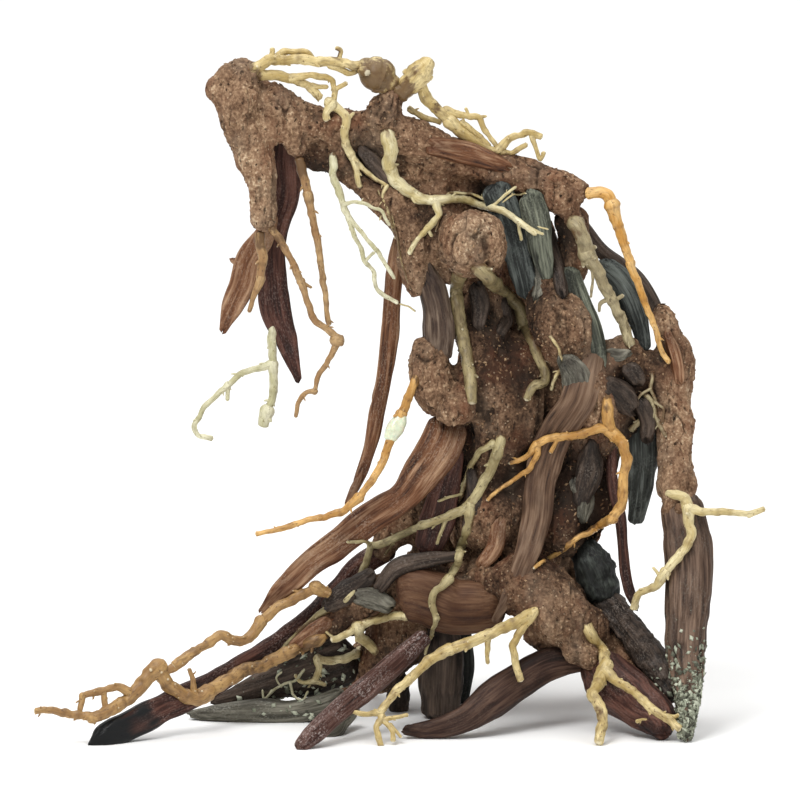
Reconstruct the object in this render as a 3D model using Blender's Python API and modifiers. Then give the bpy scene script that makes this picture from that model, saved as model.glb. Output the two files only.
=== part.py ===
"""Bonsai driftwood root: wood slats, logs and fine roots on a mortar trunk.

The piece stands on the plane z = 0 with +X along its width, +Y away from the
side it is looked at from, and +Z up.  Every route below is read off one view:
a point is (across, down, depth, half width), where across and down are view
units of UNIT metres and depth is in millimetres behind the middle plane.
"""
import math

import bmesh
import bpy
import numpy as np
from mathutils import Vector
from mathutils.bvhtree import BVHTree

# Driving dimensions
OVERALL_WIDTH = 0.300
VIEW_LIFT_DEG = 10.0
FIT_GAP = 0.0005
TRUNK_CELL = 0.0022
ROOT_CELL = 0.0005
TRUNK_TRIANGLES = 2500
ROOT_TRIANGLES_PER_METRE = 1250
ROOT_TRIANGLES_LEAST = 80
SEAT_SHARE = 0.55
ROOT_CLEARANCE = 0.0009
TOUCH_VOLUME = 0.004
GROWTH_CELL = 0.0006
SOCKET_DETAIL = 0.5

# The view the routes are read from
LEFT_END = 35.0
RIGHT_END = 766.0
GROUND_LINE = 718.0
MM = 0.001
UNIT = OVERALL_WIDTH / (RIGHT_END - LEFT_END)
MIDDLE = 0.5 * (LEFT_END + RIGHT_END)
SIN_LIFT = math.sin(math.radians(VIEW_LIFT_DEG))
COS_LIFT = math.cos(math.radians(VIEW_LIFT_DEG))

COLLECTION = "bonsai_driftwood_root"
ROOT_STEP = 14.0
THINNEST_ROOT = 0.00062

# Mortar trunk: limbs of (across, down, depth, half width)
TRUNK_LIMBS = [
    # head
    [(216, 68, -5, 9), (226, 74, -5, 15), (240, 78, -5, 20), (262, 87, -4, 23)],
    [(213, 100, -6, 8), (223, 101, -6, 18), (237, 102, -6, 27), (262, 104, -4, 25)],
    [(221, 74, -5, 12), (219, 88, -6, 12), (222, 106, -6, 14)],
    [(236, 95, 3, 20), (262, 100, 4, 20), (300, 118, 4, 16)],
    # head leg and stub
    [(236, 98, -6, 25), (241, 122, -7, 20), (251, 145, -8, 18), (260, 170, -9, 17),
     (264, 198, -10, 15), (263, 226, -10, 14), (261, 238, -10, 8)],
    [(290, 118, -4, 15), (296, 147, -6, 11), (300, 163, -7, 5)],
    # beam, left and right of the lump
    [(258, 98, -4, 24), (290, 115, -2, 18), (330, 125, 0, 19), (368, 126, 0, 21)],
    [(298, 136, 6, 14), (318, 148, 6, 22), (345, 160, 4, 18)],
    [(366, 128, -3, 22), (385, 110, -3, 18), (396, 98, -3, 14), (407, 90, -2, 9)],
    [(368, 128, 2, 23), (395, 140, 2, 25), (420, 150, 2, 26), (443, 157, 2, 22),
     (472, 162, 3, 18), (514, 173, 3, 19), (542, 181, 2, 17), (566, 194, 0, 24),
     (584, 192, -1, 15)],
    [(380, 140, 12, 18), (440, 160, 16, 18), (510, 178, 16, 16), (566, 198, 10, 20)],
    # strand from the beam down to the knee
    [(334, 126, 0, 18), (341, 160, 0, 14), (366, 186, 0, 15), (390, 204, -1, 19),
     (411, 225, -2, 18), (415, 255, -3, 17), (416, 280, -4, 13), (412, 300, -4, 5)],
    [(431, 332, -5, 12), (428, 352, -6, 19), (433, 380, -8, 23), (453, 416, -6, 24)],
    [(350, 130, 4, 18), (380, 160, 4, 20), (412, 190, 4, 20), (440, 214, 2, 16)],
    # bulb and what carries it
    [(472, 208, -11, 10), (472, 216, -12, 24), (472, 232, -13, 33), (472, 250, -13, 35),
     (472, 266, -12, 29), (470, 278, -10, 16)],
    [(438, 168, 4, 18), (436, 205, 2, 18), (452, 238, -4, 20)],
    [(440, 250, -4, 12), (446, 270, -2, 11), (450, 288, 0, 8)],
    [(462, 292, 2, 13), (464, 320, 2, 14), (468, 350, 2, 12)],
    [(440, 196, 10, 22), (480, 198, 12, 22), (512, 205, 14, 18)],
    # core, front left, front right and back
    [(474, 262, 8, 23), (478, 310, 8, 25), (484, 350, 2, 27), (486, 380, -2, 29),
     (496, 420, -4, 30), (492, 460, 4, 34), (492, 510, 0, 38), (498, 556, -6, 36)],
    [(506, 190, 14, 16), (530, 230, 16, 22), (548, 282, 8, 24), (558, 318, -2, 30),
     (572, 360, 0, 30), (592, 404, -2, 34), (590, 450, 4, 30), (572, 500, 4, 34),
     (556, 556, -2, 38)],
    [(586, 464, 6, 26), (594, 500, 4, 22), (588, 532, 2, 20)],
    [(516, 220, 22, 20), (522, 250, 23, 26), (526, 310, 25, 33), (534, 380, 27, 40),
     (536, 450, 28, 45), (530, 520, 29, 49), (520, 575, 28, 42), (518, 600, 26, 24)],
    [(560, 420, 30, 26), (575, 480, 34, 30), (570, 540, 36, 30), (556, 590, 32, 24)],
    [(490, 380, 28, 24), (476, 450, 34, 28), (474, 520, 38, 30), (466, 580, 34, 26)],
    [(500, 330, 10, 20), (520, 400, 0, 34), (520, 450, 6, 34), (524, 520, -2, 36)],
    [(446, 440, 8, 18), (430, 500, 8, 24), (420, 550, 6, 24)],
    [(424, 494, 4, 18), (402, 524, 4, 18), (384, 548, 4, 14), (392, 562, 4, 12)],
    # shoulder under the right lump
    [(566, 205, 0, 20), (572, 236, 3, 14), (574, 262, 5, 13), (562, 290, 6, 14)],
    # right trunk and its tie to the core
    [(654, 299, 5, 7), (661, 312, 4, 11), (673, 345, 2, 14), (680, 370, 0, 14),
     (671, 400, -2, 17), (674, 430, -4, 18), (674, 470, -8, 18), (679, 506, -12, 21)],
    [(594, 362, 4, 27), (626, 361, 2, 22), (652, 366, 2, 15), (672, 366, 0, 10)],
    [(596, 392, 4, 28), (626, 386, 2, 24), (650, 384, 2, 18), (676, 384, 0, 12)],
    [(600, 420, 6, 26), (632, 416, 4, 20), (668, 410, 0, 12)],
    # base fan and left mass
    [(500, 560, -8, 28), (540, 590, -14, 30), (562, 618, -18, 32), (570, 646, -18, 24)],
    [(536, 606, -12, 26), (550, 634, -14, 22), (578, 656, -14, 15)],
    [(540, 618, -12, 21), (534, 642, -16, 14)],
    [(560, 600, 6, 34), (592, 630, -2, 28), (610, 654, -8, 22), (636, 684, -20, 16)],
    [(506, 575, 4, 32), (450, 588, 2, 28), (398, 594, -4, 22), (352, 602, -8, 21),
     (330, 606, -8, 15)],
    [(372, 606, -6, 22), (338, 622, -9, 18), (312, 634, -12, 12), (294, 644, -14, 7)],
    [(450, 540, 8, 26), (420, 590, 10, 30), (400, 630, 6, 32), (384, 664, 2, 26),
     (370, 696, -6, 14)],
    [(430, 610, 6, 30), (418, 646, 4, 20), (412, 668, 4, 10)],
    # back feet
    [(440, 590, 18, 30), (396, 640, 30, 26), (362, 670, 44, 19), (348, 688, 58, 15),
     (342, 696, 66, 12)],
    [(548, 580, 24, 38), (594, 630, 36, 28), (626, 668, 50, 18), (638, 688, 62, 14),
     (644, 696, 70, 11)],
]

# Wood pieces: name, finish, thickness as a share of the width, sides, limbs
WOOD_PIECES = [
    ("leg_right_ribbed", "wood_grey_brown", 0.85, 8, [
        [(683, 512, -13, 20), (686, 532, -16, 23), (688, 560, -20, 24), (687, 602, -28, 22),
         (685, 648, -36, 19), (687, 690, -45, 13), (686, 718, -51, 8), (684, 738, -54, 5)]]),
    ("slat_long_left", "wood_red_brown", 0.5, 8, [
        [(448, 420, -12, 17), (442, 442, -14, 21), (423, 472, -15, 19), (403, 497, -16, 15),
         (372, 518, -17, 15), (335, 546, -18, 14), (311, 562, -18, 13), (293, 579, -18, 12),
         (278, 593, -18, 8), (261, 612, -18, 3)]]),
    ("stick_red_low", "wood_red_brown", 0.9, 8, [
        [(426, 634, -21, 8), (402, 657, -29, 10), (367, 686, -43, 11), (338, 710, -55, 11),
         (314, 732, -65, 10), (299, 747, -70, 5)]]),
    ("slat_charred_tip", "wood_maroon", 0.6, 8, [
        [(394, 546, 6, 10), (363, 565, 2, 12), (340, 590, 0, 12), (314, 616, -4, 12),
         (290, 636, -9, 12), (240, 668, -21, 11), (200, 691, -33, 13), (165, 707, -43, 14),
         (127, 726, -52, 14), (104, 736, -58, 12), (91, 745, -61, 5)]]),
    ("band_centre", "wood_grey_brown", 0.35, 8, [
        [(590, 350, None, 20), (577, 400, None, 24), (552, 440, None, 21),
         (541, 480, None, 20), (537, 520, None, 18), (525, 560, None, 15),
         (506, 602, None, 9), (494, 621, None, 4)]]),
    ("log_base_olive", "wood_olive", 0.8, 8, [
        [(398, 594, -12, 12), (408, 593, -14, 25), (430, 598, -15, 29), (452, 606, -15, 27),
         (475, 607, -15, 26), (504, 604, -13, 21)]]),
    ("slat_curved_bottom", "wood_maroon", 0.75, 8, [
        [(403, 729, -46, 4), (430, 729, -46, 10), (465, 719, -45, 13), (488, 702, -40, 16),
         (517, 681, -31, 16), (550, 663, -23, 16), (588, 659, -16, 12)]]),
    ("log_right_lower", "wood_maroon", 0.9, 8, [
        [(592, 656, -14, 15), (609, 678, -24, 23), (636, 701, -36, 22), (657, 719, -46, 17),
         (668, 733, -52, 11)]]),
    ("log_right_upper", "wood_dark", 0.9, 8, [
        [(606, 602, -6, 14), (626, 626, -12, 15), (646, 651, -19, 17), (664, 677, -28, 16),
         (675, 698, -37, 10)]]),
    ("slat_head_left", "wood_red_brown", 0.45, 8, [
        [(271, 216, 0, 7), (264, 235, 1, 10), (249, 262, 1, 13), (243, 285, 0, 13),
         (234, 305, -1, 11), (223, 331, -2, 3)],
        [(246, 270, 1, 8), (239, 263, 1, 5), (230, 259, 1, 2)]]),
    ("slat_head_right", "wood_maroon", 0.5, 8, [
        [(286, 128, 5, 12), (285, 160, 6, 17), (286, 198, 6, 14), (278, 224, 5, 12),
         (273, 248, 5, 13), (273, 282, 3, 14), (276, 310, 2, 16), (286, 340, 1, 11),
         (299, 381, 0, 3)]]),
    ("stick_hanging_long", "wood_red_brown", 0.8, 7, [
        [(401, 236, 8, 7), (396, 262, 6, 9), (393, 290, 5, 9), (391, 320, 4, 9),
         (388, 350, 3, 9), (384, 380, 2, 8), (378, 410, 1, 8), (371, 445, 0, 7),
         (360, 476, -1, 6), (347, 506, -2, 3)]]),
    ("branch_column", "wood_grey_brown", 0.9, 8, [
        [(424, 268, -4, 10), (431, 288, -4, 13), (437, 310, -4, 14), (439, 334, -5, 16),
         (438, 352, -6, 14)]]),
    ("slab_low_left", "wood_dark", 0.45, 8, [
        [(212, 703, -2, 4), (240, 694, -1, 11), (276, 682, 0, 19), (316, 668, 1, 26),
         (356, 654, 2, 28)]]),
    ("plank_grey", "wood_grey", 1.1, 7, [
        [(188, 715, -5, 4), (215, 714, -7, 9), (255, 712, -8, 11), (290, 712, -9, 11),
         (318, 706, -9, 11), (345, 696, -8, 9)]]),
    ("block_grey", "wood_grey", 0.9, 7, [
        [(317, 729, -40, 8), (328, 730, -40, 10), (341, 719, -32, 10), (354, 706, -24, 8)]]),
    ("foot_ribbed", "wood_dark", 0.55, 8, [
        [(442, 632, -2, 18), (442, 655, -2, 21), (441, 690, -2, 20), (441, 722, -2, 19)]]),
    ("foot_black_back", "wood_charred", 0.9, 6, [
        [(464, 628, 26, 8), (467, 668, 29, 8), (463, 709, 31, 6)]]),
    ("foot_round_dark", "wood_dark", 0.9, 7, [
        [(398, 672, 10, 10), (398, 692, 12, 11), (398, 706, 14, 10), (398, 715, 15, 7)]]),
    ("stick_red_right", "wood_maroon", 0.9, 6, [
        [(612, 436, -2, 5), (613, 485, -6, 6), (621, 520, -8, 6), (623, 548, -10, 5),
         (626, 576, -12, 5), (632, 598, -14, 4), (638, 609, -15, 2)]]),
    ("slab_dark_upper", "wood_dark", 0.9, 7, [
        [(574, 216, 10, 7), (588, 236, 11, 8), (602, 252, 11, 8), (618, 265, 11, 9),
         (636, 280, 10, 9), (650, 302, 9, 9), (660, 320, 7, 7)]]),
    ("slat_grey_face", "wood_blue_grey", 0.35, 7, [
        [(599, 264, 4, 10), (617, 278, 4, 13), (630, 298, 4, 12), (638, 320, 4, 10),
         (645, 352, 3, 7)]]),
    ("slat_grey_a", "wood_blue_grey", 0.4, 7, [
        [(494, 184, -3, 12), (506, 216, -3, 16), (517, 252, -2, 15), (528, 298, 0, 9)]]),
    ("slat_grey_b", "wood_grey_green", 0.4, 7, [
        [(528, 192, -7, 12), (537, 222, -6, 14), (541, 250, -5, 11), (547, 280, -3, 6)]]),
    ("slat_grey_back", "wood_grey_green", 0.5, 7, [
        [(567, 270, 0, 11), (578, 300, -3, 12), (590, 336, -5, 13), (596, 376, -6, 9)]]),
    ("slat_blue_black", "wood_blue_grey", 0.5, 7, [
        [(642, 420, 4, 13), (643, 445, 4, 17), (643, 470, 4, 15), (640, 495, 3, 11),
         (636, 523, 2, 6)]]),
    ("lump_charred", "wood_charred", 0.9, 8, [
        [(582, 546, 2, 12), (590, 560, -4, 18), (600, 584, -6, 19), (606, 604, -8, 14)],
        [(600, 560, -2, 16), (604, 576, -6, 17)]]),
    ("slat_arched", "wood_dark", 0.6, 7, [
        [(378, 590, -16, 6), (396, 569, -18, 8), (428, 560, -18, 8), (462, 556, -16, 7)]]),
    ("rib_dark", "wood_maroon", 0.5, 7, [
        [(456, 446, -6, 9), (448, 478, -7, 13), (438, 516, -8, 17), (426, 554, -10, 14)]]),
]

# Roots: name, finish, branches of (first width, last width, points); a point
# without a depth lies on what is behind it
ROOT_PIECES = [
    ("root_olive_left", "root_olive", [
        (14, 12, [(461, 268), (456, 287), (457, 306), (461, 331), (467, 355), (470, 376),
                  (471, 404)])]),
    ("root_olive_right", "root_olive", [
        (15, 12, [(474, 266), (491, 281), (506, 294), (519, 306), (524, 320)]),
        (12, 8, [(524, 320), (529, 334), (537, 353), (544, 369), (544, 381), (533, 386),
                 (526, 400)])]),
    ("root_thin_core", "root_pale", [
        (4, 4, [(548, 333), (558, 348), (562, 362), (557, 375), (551, 390)])]),
    ("root_cream_large", "root_pale", [
        (15, 10, [(387, 130), (391, 152), (388, 163), (394, 180), (405, 190), (420, 199),
                  (436, 201)]),
        (9, 6, [(436, 201), (450, 199), (467, 201), (486, 206), (502, 211), (517, 221),
                (534, 234)]),
        (4, 3, [(517, 221), (521, 241)]),
        (4, 3, [(528, 229), (544, 235)]),
        (8, 5, [(436, 201), (439, 215), (427, 228), (417, 241), (409, 255)]),
        (4, 3, [(427, 228), (433, 238)]),
        (3, 3, [(442, 199), (452, 193), (471, 194), (486, 200)]),
        (3, 3, [(490, 207), (503, 197), (516, 187)])]),
    ("root_wishbone", "root_pale", [
        (9, 8, [(330, 104), (340, 111), (347, 120), (344, 134), (347, 149), (355, 163)]),
        (7, 5, [(355, 163), (358, 181), (361, 189)]),
        (8, 6, [(332, 106), (327, 114), (326, 123)]),
        (5, 3, [(346, 122), (355, 114)]),
        (6, 5, [(356, 164), (371, 176), (382, 183), (388, 187)]),
        (4, 3, [(388, 187), (383, 198), (388, 212), (396, 238)])]),
    ("root_green_fine", "root_green", [
        (8, 6, [(333, 154, -7), (334, 177, -9), (341, 198, -11), (348, 217, -12)]),
        (5, 4, [(348, 217, -12), (353, 233, -13), (360, 246, -13), (364, 261, -13),
                (374, 272, -13), (376, 286, -12), (385, 296, -11), (399, 304, -10)]),
        (5, 4, [(348, 217, -12), (361, 232, -15), (376, 250, -17), (388, 269, -17),
                (395, 279, -16)]),
        (4, 3, [(344, 205, -12), (356, 203, -15), (368, 205, -17), (381, 212, -19),
                (390, 226, -20)]),
        (3, 3, [(365, 262, -13), (374, 253, -13)])]),
    ("root_bunch_head", "root_yellow", [
        (11, 9, [(253, 72, -6), (261, 67, -7), (270, 61, -7), (284, 62, -7), (301, 60, -6),
                 (317, 63, -6), (339, 63, -5), (352, 67, -5), (368, 67, -4), (379, 74, -4)]),
        (14, 26, [(366, 68, -4), (376, 75, -4)]),
        (27, 18, [(376, 75, -4), (383, 77, -4), (388, 82, -4)]),
        (18, 17, [(379, 78, -4), (382, 94, -4)]),
        (7, 5, [(272, 61, -7), (272, 48, -7)]),
        (5, 4, [(339, 62, -5), (341, 52, -5), (336, 49, -5)]),
        (7, 5, [(275, 59, -5), (284, 53, -4), (306, 53, -4), (316, 61, -5)]),
        (7, 5, [(331, 66, -5), (350, 75, -4), (366, 68, -4)]),
        (11, 8, [(253, 74, -6), (264, 76, -6), (278, 76, -6), (296, 81, -5), (309, 87, -4),
                 (322, 100, -3)]),
        (7, 6, [(292, 79, -6), (313, 76, -6), (330, 79, -5), (334, 92, -4), (333, 103, -4)]),
        (5, 4, [(334, 90, -4), (348, 84, -5)]),
        (5, 4, [(313, 87, -4), (329, 88, -4)])]),
    ("root_crown_yellow", "root_yellow", [
        (12, 20, [(426, 66, -3), (420, 74, -3)]),
        (20, 20, [(420, 74, -3), (413, 82, -3), (404, 89, -3), (395, 98, -4)]),
        (11, 12, [(416, 78, -3), (427, 100, -2), (439, 113, -1), (450, 123, 0)]),
        (12, 8, [(450, 123, 0), (461, 133, 0), (472, 141, 0), (489, 150, 0), (497, 151, 0)]),
        (8, 6, [(497, 151, 0), (509, 139, 0), (528, 133, 0), (543, 138, 0)]),
        (5, 4, [(531, 137, 0), (541, 159, 0), (545, 151, 0)]),
        (8, 7, [(421, 70, -3), (432, 81, -4)]),
        (6, 6, [(408, 108, 4), (424, 118, 4), (442, 124, 2)]),
        (7, 5, [(446, 112, 0), (457, 115, 0), (479, 119, 0), (486, 133, 0), (495, 146, 0)]),
        (3, 3, [(470, 118, 0), (466, 108, 0)]),
        (3, 3, [(476, 119, 0), (487, 117, 0)]),
        (6, 5, [(461, 121, 0), (475, 133, 0), (488, 146, 0)]),
        (6, 5, [(497, 152, 0), (511, 154, 1), (527, 144, 0)])]),
    ("root_orange_right", "root_orange", [
        (12, 12, [(586, 194, -6), (597, 193, -8), (606, 196, -9), (611, 206, -10)]),
        (12, 8, [(611, 206, -10), (616, 222, -10), (623, 244, -10), (630, 264, -9)]),
        (8, 5, [(630, 264, -9), (637, 283, -8), (644, 303, -8), (649, 314, -8),
                (654, 328, -7), (659, 348, -6), (670, 363, -4)])]),
    ("root_knobby_right", "root_pale", [
        (16, 15, [(574, 220, -9), (581, 237, -10), (587, 255, -9)]),
        (14, 9, [(587, 255, -9), (596, 269, -7), (604, 286, -6), (613, 302, -5),
                 (620, 317, -4), (626, 331, -3), (631, 346, -3)]),
        (4, 3, [(591, 262, -8), (593, 282, -8), (591, 298, -8)]),
        (5, 3, [(610, 299, -5), (600, 305, -5), (598, 312, -5)]),
        (5, 4, [(614, 301, -5), (624, 296, -5)])]),
    ("root_under_head", "root_pale", [
        (10, 9, [(261, 232, -10), (261, 244, -11), (263, 258, -11), (261, 278, -11)]),
        (8, 4, [(261, 278, -11), (254, 296, -11), (249, 313, -11)])]),
    ("root_leg_forked", "root_pale", [
        (8, 7, [(270, 228, -10), (281, 240, -12), (291, 258, -12), (301, 282, -12)]),
        (7, 7, [(301, 282, -12), (308, 302, -12), (315, 320, -12), (329, 330, -12),
                (340, 341, -12)]),
        (10, 9, [(337, 340, -12), (345, 341, -12)]),
        (6, 5, [(337, 344, -12), (334, 351, -12), (327, 365, -12), (320, 375, -12),
                (315, 391, -12)]),
        (5, 4, [(315, 391, -12), (306, 393, -12), (298, 403, -12), (295, 418, -12)]),
        (4, 3, [(301, 282, -12), (312, 288, -11)])]),
    ("root_orange_stub", "root_orange", [
        (9, 9, [(299, 158, -7), (305, 179, -7), (308, 196, -7)]),
        (8, 5, [(308, 196, -7), (313, 222, -7), (317, 240, -7), (322, 268, -7),
                (325, 289, -7), (327, 310, -6), (329, 326, -6)])]),
    ("root_green_low", "root_green", [
        (9, 8, [(273, 322, 1), (272, 333, 0), (273, 349, -1), (273, 365, -1)]),
        (8, 8, [(273, 365, -1), (273, 380, -1), (272, 397, -1), (267, 411, -1)]),
        (11, 10, [(267, 411, -1), (263, 427, -1)]),
        (7, 6, [(272, 364, -1), (256, 369, -2), (242, 373, -3), (228, 386, -4)]),
        (6, 5, [(228, 386, -4), (215, 397, -5), (204, 408, -6), (195, 427, -6),
                (198, 435, -6), (214, 439, -6)]),
        (5, 4, [(228, 385, -4), (228, 402, -4)])]),
    ("root_orange_bead", "root_orange", [
        (9, 9, [(418, 374, -14), (414, 385, -14), (409, 397, -14), (402, 414, -15)]),
        (16, 16, [(397, 425, -16), (392, 438, -17)]),
        (9, 7, [(402, 414, -15), (387, 449, -19), (380, 467, -22), (373, 480, -24),
                (359, 498, -27)]),
        (8, 5, [(359, 498, -27), (342, 512, -28), (325, 516, -28), (307, 520, -28),
                (290, 526, -28), (273, 530, -28), (255, 534, -28)])]),
    ("root_olive_long", "root_olive", [
        (11, 10, [(502, 434), (497, 452), (490, 470), (479, 491), (468, 507)]),
        (9, 7, [(468, 507), (444, 518), (426, 524), (398, 537), (381, 544), (371, 545)]),
        (4, 3, [(371, 545), (358, 541), (346, 541)]),
        (4, 3, [(396, 538), (384, 555)]),
        (7, 6, [(371, 545), (366, 561), (359, 579), (355, 590), (346, 599), (328, 609)]),
        (7, 4, [(328, 609), (309, 623), (293, 637), (280, 652)]),
        (9, 8, [(470, 506), (467, 529), (464, 538), (456, 566), (449, 579)]),
        (8, 6, [(449, 579), (434, 593), (431, 603), (436, 618)]),
        (5, 3, [(436, 618), (432, 635), (425, 655)]),
        (7, 5, [(493, 444), (479, 451), (471, 465), (465, 481), (458, 501)]),
        (3, 3, [(461, 494), (437, 501)]),
        (4, 3, [(446, 520), (437, 545)])]),
    ("root_orange_forked", "root_orange", [
        (11, 13, [(606, 398), (607, 417), (610, 431)]),
        (9, 8, [(608, 428), (597, 428), (579, 434), (562, 437), (545, 439), (536, 444)]),
        (6, 5, [(536, 444), (528, 455), (517, 461), (508, 464)]),
        (6, 4, [(537, 447), (538, 452), (529, 470), (514, 480), (500, 490), (486, 501)]),
        (5, 4, [(557, 438), (550, 453)]),
        (11, 10, [(610, 431), (616, 437), (624, 446, -20), (626, 460, -19), (623, 481, -19),
                  (621, 505, -19), (612, 518, -18)]),
        (9, 4, [(612, 518, -18), (598, 526), (588, 533), (579, 537), (561, 551), (549, 558),
                (533, 569)])]),
    ("root_olive_above", "root_olive", [
        (11, 10, [(330, 594, -17), (317, 588, -19), (300, 595, -21), (279, 606, -24),
                  (262, 621, -27)]),
        (10, 9, [(262, 621, -27), (252, 635, -29), (241, 641, -31), (230, 639, -33),
                 (221, 634, -35), (207, 644, -38), (191, 654, -41), (174, 666, -44)]),
        (12, 9, [(317, 588, -19), (325, 593, -18)])]),
    ("root_orange_large", "root_orange", [
        (12, 14, [(326, 634), (319, 639), (301, 647), (284, 655), (263, 665), (242, 671),
                  (223, 683), (208, 692)]),
        (14, 14, [(208, 692), (196, 697, -40), (186, 695, -41), (169, 683, -44),
                  (159, 668, -45)]),
        (14, 12, [(159, 666, -45), (143, 683, -48), (127, 699, -52), (110, 710, -57),
                  (94, 716, -61)]),
        (9, 7, [(94, 716, -61), (73, 713, -62), (51, 709, -63), (35, 710, -64)]),
        (8, 7, [(128, 690, -52), (118, 686, -53), (99, 690, -56), (83, 695, -58)]),
        (6, 5, [(83, 695, -58), (82, 712, -61)]),
        (6, 5, [(105, 689, -55), (107, 710, -57)]),
        (7, 4, [(197, 694, -40), (189, 667, -41)])]),
    ("root_pale_bent", "root_pale", [
        (9, 10, [(408, 616), (389, 616), (374, 620), (358, 627)]),
        (8, 6, [(358, 627), (342, 636), (330, 640)]),
        (4, 3, [(334, 638), (323, 630)]),
        (10, 9, [(358, 627), (361, 639), (372, 648), (361, 653)]),
        (9, 8, [(361, 653), (347, 658), (330, 661), (318, 660)]),
        (7, 6, [(318, 660), (319, 672), (314, 682)]),
        (5, 4, [(314, 682), (326, 686)]),
        (5, 4, [(314, 682), (301, 682), (294, 675)])]),
    ("root_yellow_low", "root_yellow", [
        (11, 11, [(534, 612, -31), (519, 620, -34), (498, 629, -37), (473, 641, -39),
                  (449, 649, -40)]),
        (10, 8, [(449, 649, -40), (428, 660, -42), (418, 670, -44), (408, 680, -46),
                 (397, 689, -48), (387, 702, -51), (380, 711, -53)]),
        (8, 7, [(534, 612, -31), (519, 632, -35), (512, 646, -37), (515, 663, -38),
                (521, 681, -39)]),
        (6, 4, [(487, 636, -38), (487, 650, -38), (488, 664, -38)]),
        (6, 5, [(381, 711, -53), (363, 713, -54), (352, 710, -54)]),
        (5, 4, [(380, 711, -53), (382, 719, -55), (396, 716, -55), (409, 713, -55)]),
        (6, 6, [(382, 716, -54), (376, 728, -58), (381, 746, -62)]),
        (5, 5, [(384, 720, -55), (392, 730, -58), (393, 741, -61)]),
        (4, 3, [(390, 724, -56), (402, 736, -58)])]),
    ("root_yellow_base", "root_yellow", [
        (12, 12, [(583, 620), (592, 638), (602, 649), (606, 667)]),
        (12, 10, [(606, 667), (599, 679, -36), (592, 693, -44), (601, 709, -51),
                  (602, 723, -56), (597, 742, -62)]),
        (9, 8, [(606, 670), (615, 680), (630, 688), (640, 698), (651, 707), (664, 716),
                (680, 729)]),
        (5, 4, [(650, 706), (648, 716), (634, 721)]),
        (5, 4, [(662, 714), (672, 716), (679, 713)])]),
    ("root_pale_leg", "root_pale", [
        (9, 12, [(664, 491), (675, 494), (684, 499), (688, 508)]),
        (9, 6, [(688, 508), (702, 511, -24), (720, 511, -25), (749, 513, -26)]),
        (6, 5, [(749, 513, -26), (765, 508, -26)]),
        (10, 9, [(688, 508), (688, 524), (691, 534), (684, 549), (672, 562, -31),
                 (664, 573, -31)]),
        (9, 7, [(664, 573, -31), (655, 586, -30), (639, 592, -27), (633, 610, -24)]),
        (4, 3, [(661, 578, -31), (652, 566, -30)])]),
    ("twigs_lichen", "root_green", [
        (6, 6, [(644, 392), (654, 404), (640, 421), (630, 431)]),
        (5, 4, [(654, 404), (657, 420), (666, 437)])]),
]

# Finish: red, green, blue (linear), roughness
FINISHES = {
    "mortar": ((0.208, 0.128, 0.078), 0.85),
    "wood_red_brown": ((0.107, 0.040, 0.026), 0.62),
    "wood_maroon": ((0.045, 0.020, 0.017), 0.55),
    "wood_grey_brown": ((0.105, 0.075, 0.055), 0.70),
    "wood_grey": ((0.095, 0.090, 0.072), 0.75),
    "wood_grey_green": ((0.130, 0.150, 0.120), 0.72),
    "wood_blue_grey": ((0.060, 0.075, 0.078), 0.60),
    "wood_olive": ((0.080, 0.055, 0.030), 0.65),
    "wood_dark": ((0.040, 0.030, 0.024), 0.65),
    "wood_charred": ((0.016, 0.019, 0.021), 0.40),
    "root_pale": ((0.600, 0.540, 0.320), 0.50),
    "root_green": ((0.480, 0.500, 0.340), 0.55),
    "root_yellow": ((0.500, 0.390, 0.180), 0.50),
    "root_orange": ((0.560, 0.330, 0.110), 0.45),
    "root_olive": ((0.250, 0.210, 0.115), 0.55),
}


def place(across, down, depth):
    """World point of a view point that lies depth millimetres behind the middle plane."""
    y = depth * MM
    rise = (GROUND_LINE - down) * UNIT
    return Vector(((across - MIDDLE) * UNIT, y, (rise - y * SIN_LIFT) / COS_LIFT))


def tube_mesh(points, radii, sides):
    """Closed tube through the points: a poly curve with a round bevel and filled caps."""
    curve = bpy.data.curves.new("limb", "CURVE")
    curve.dimensions = "3D"
    curve.bevel_depth = 1.0
    curve.bevel_resolution = max(0, (sides - 4) // 2)
    curve.use_fill_caps = True
    spline = curve.splines.new("POLY")
    spline.points.add(len(points) - 1)
    for knot, point, radius in zip(spline.points, points, radii):
        knot.co = (point[0], point[1], point[2], 1.0)
        knot.radius = radius
    guide = bpy.data.objects.new("limb", curve)
    bpy.context.scene.collection.objects.link(guide)
    graph = bpy.context.evaluated_depsgraph_get()
    mesh = bpy.data.meshes.new_from_object(guide.evaluated_get(graph))
    bpy.data.objects.remove(guide)
    bpy.data.curves.remove(curve)
    work = bmesh.new()
    work.from_mesh(mesh)
    bmesh.ops.remove_doubles(work, verts=work.verts, dist=0.00001)
    bmesh.ops.recalc_face_normals(work, faces=work.faces)
    work.to_mesh(mesh)
    work.free()
    return mesh


def joined(meshes):
    """One mesh that holds all the given closed bodies."""
    work = bmesh.new()
    for mesh in meshes:
        work.from_mesh(mesh)
    result = bpy.data.meshes.new("joined")
    work.to_mesh(result)
    work.free()
    for mesh in meshes:
        bpy.data.meshes.remove(mesh)
    return result


def evaluated(mesh, add_modifiers):
    """The mesh after the modifiers that add_modifiers puts on it."""
    holder = bpy.data.objects.new("work", mesh)
    bpy.context.scene.collection.objects.link(holder)
    add_modifiers(holder)
    graph = bpy.context.evaluated_depsgraph_get()
    result = bpy.data.meshes.new_from_object(holder.evaluated_get(graph))
    bpy.data.objects.remove(holder)
    return result


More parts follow.
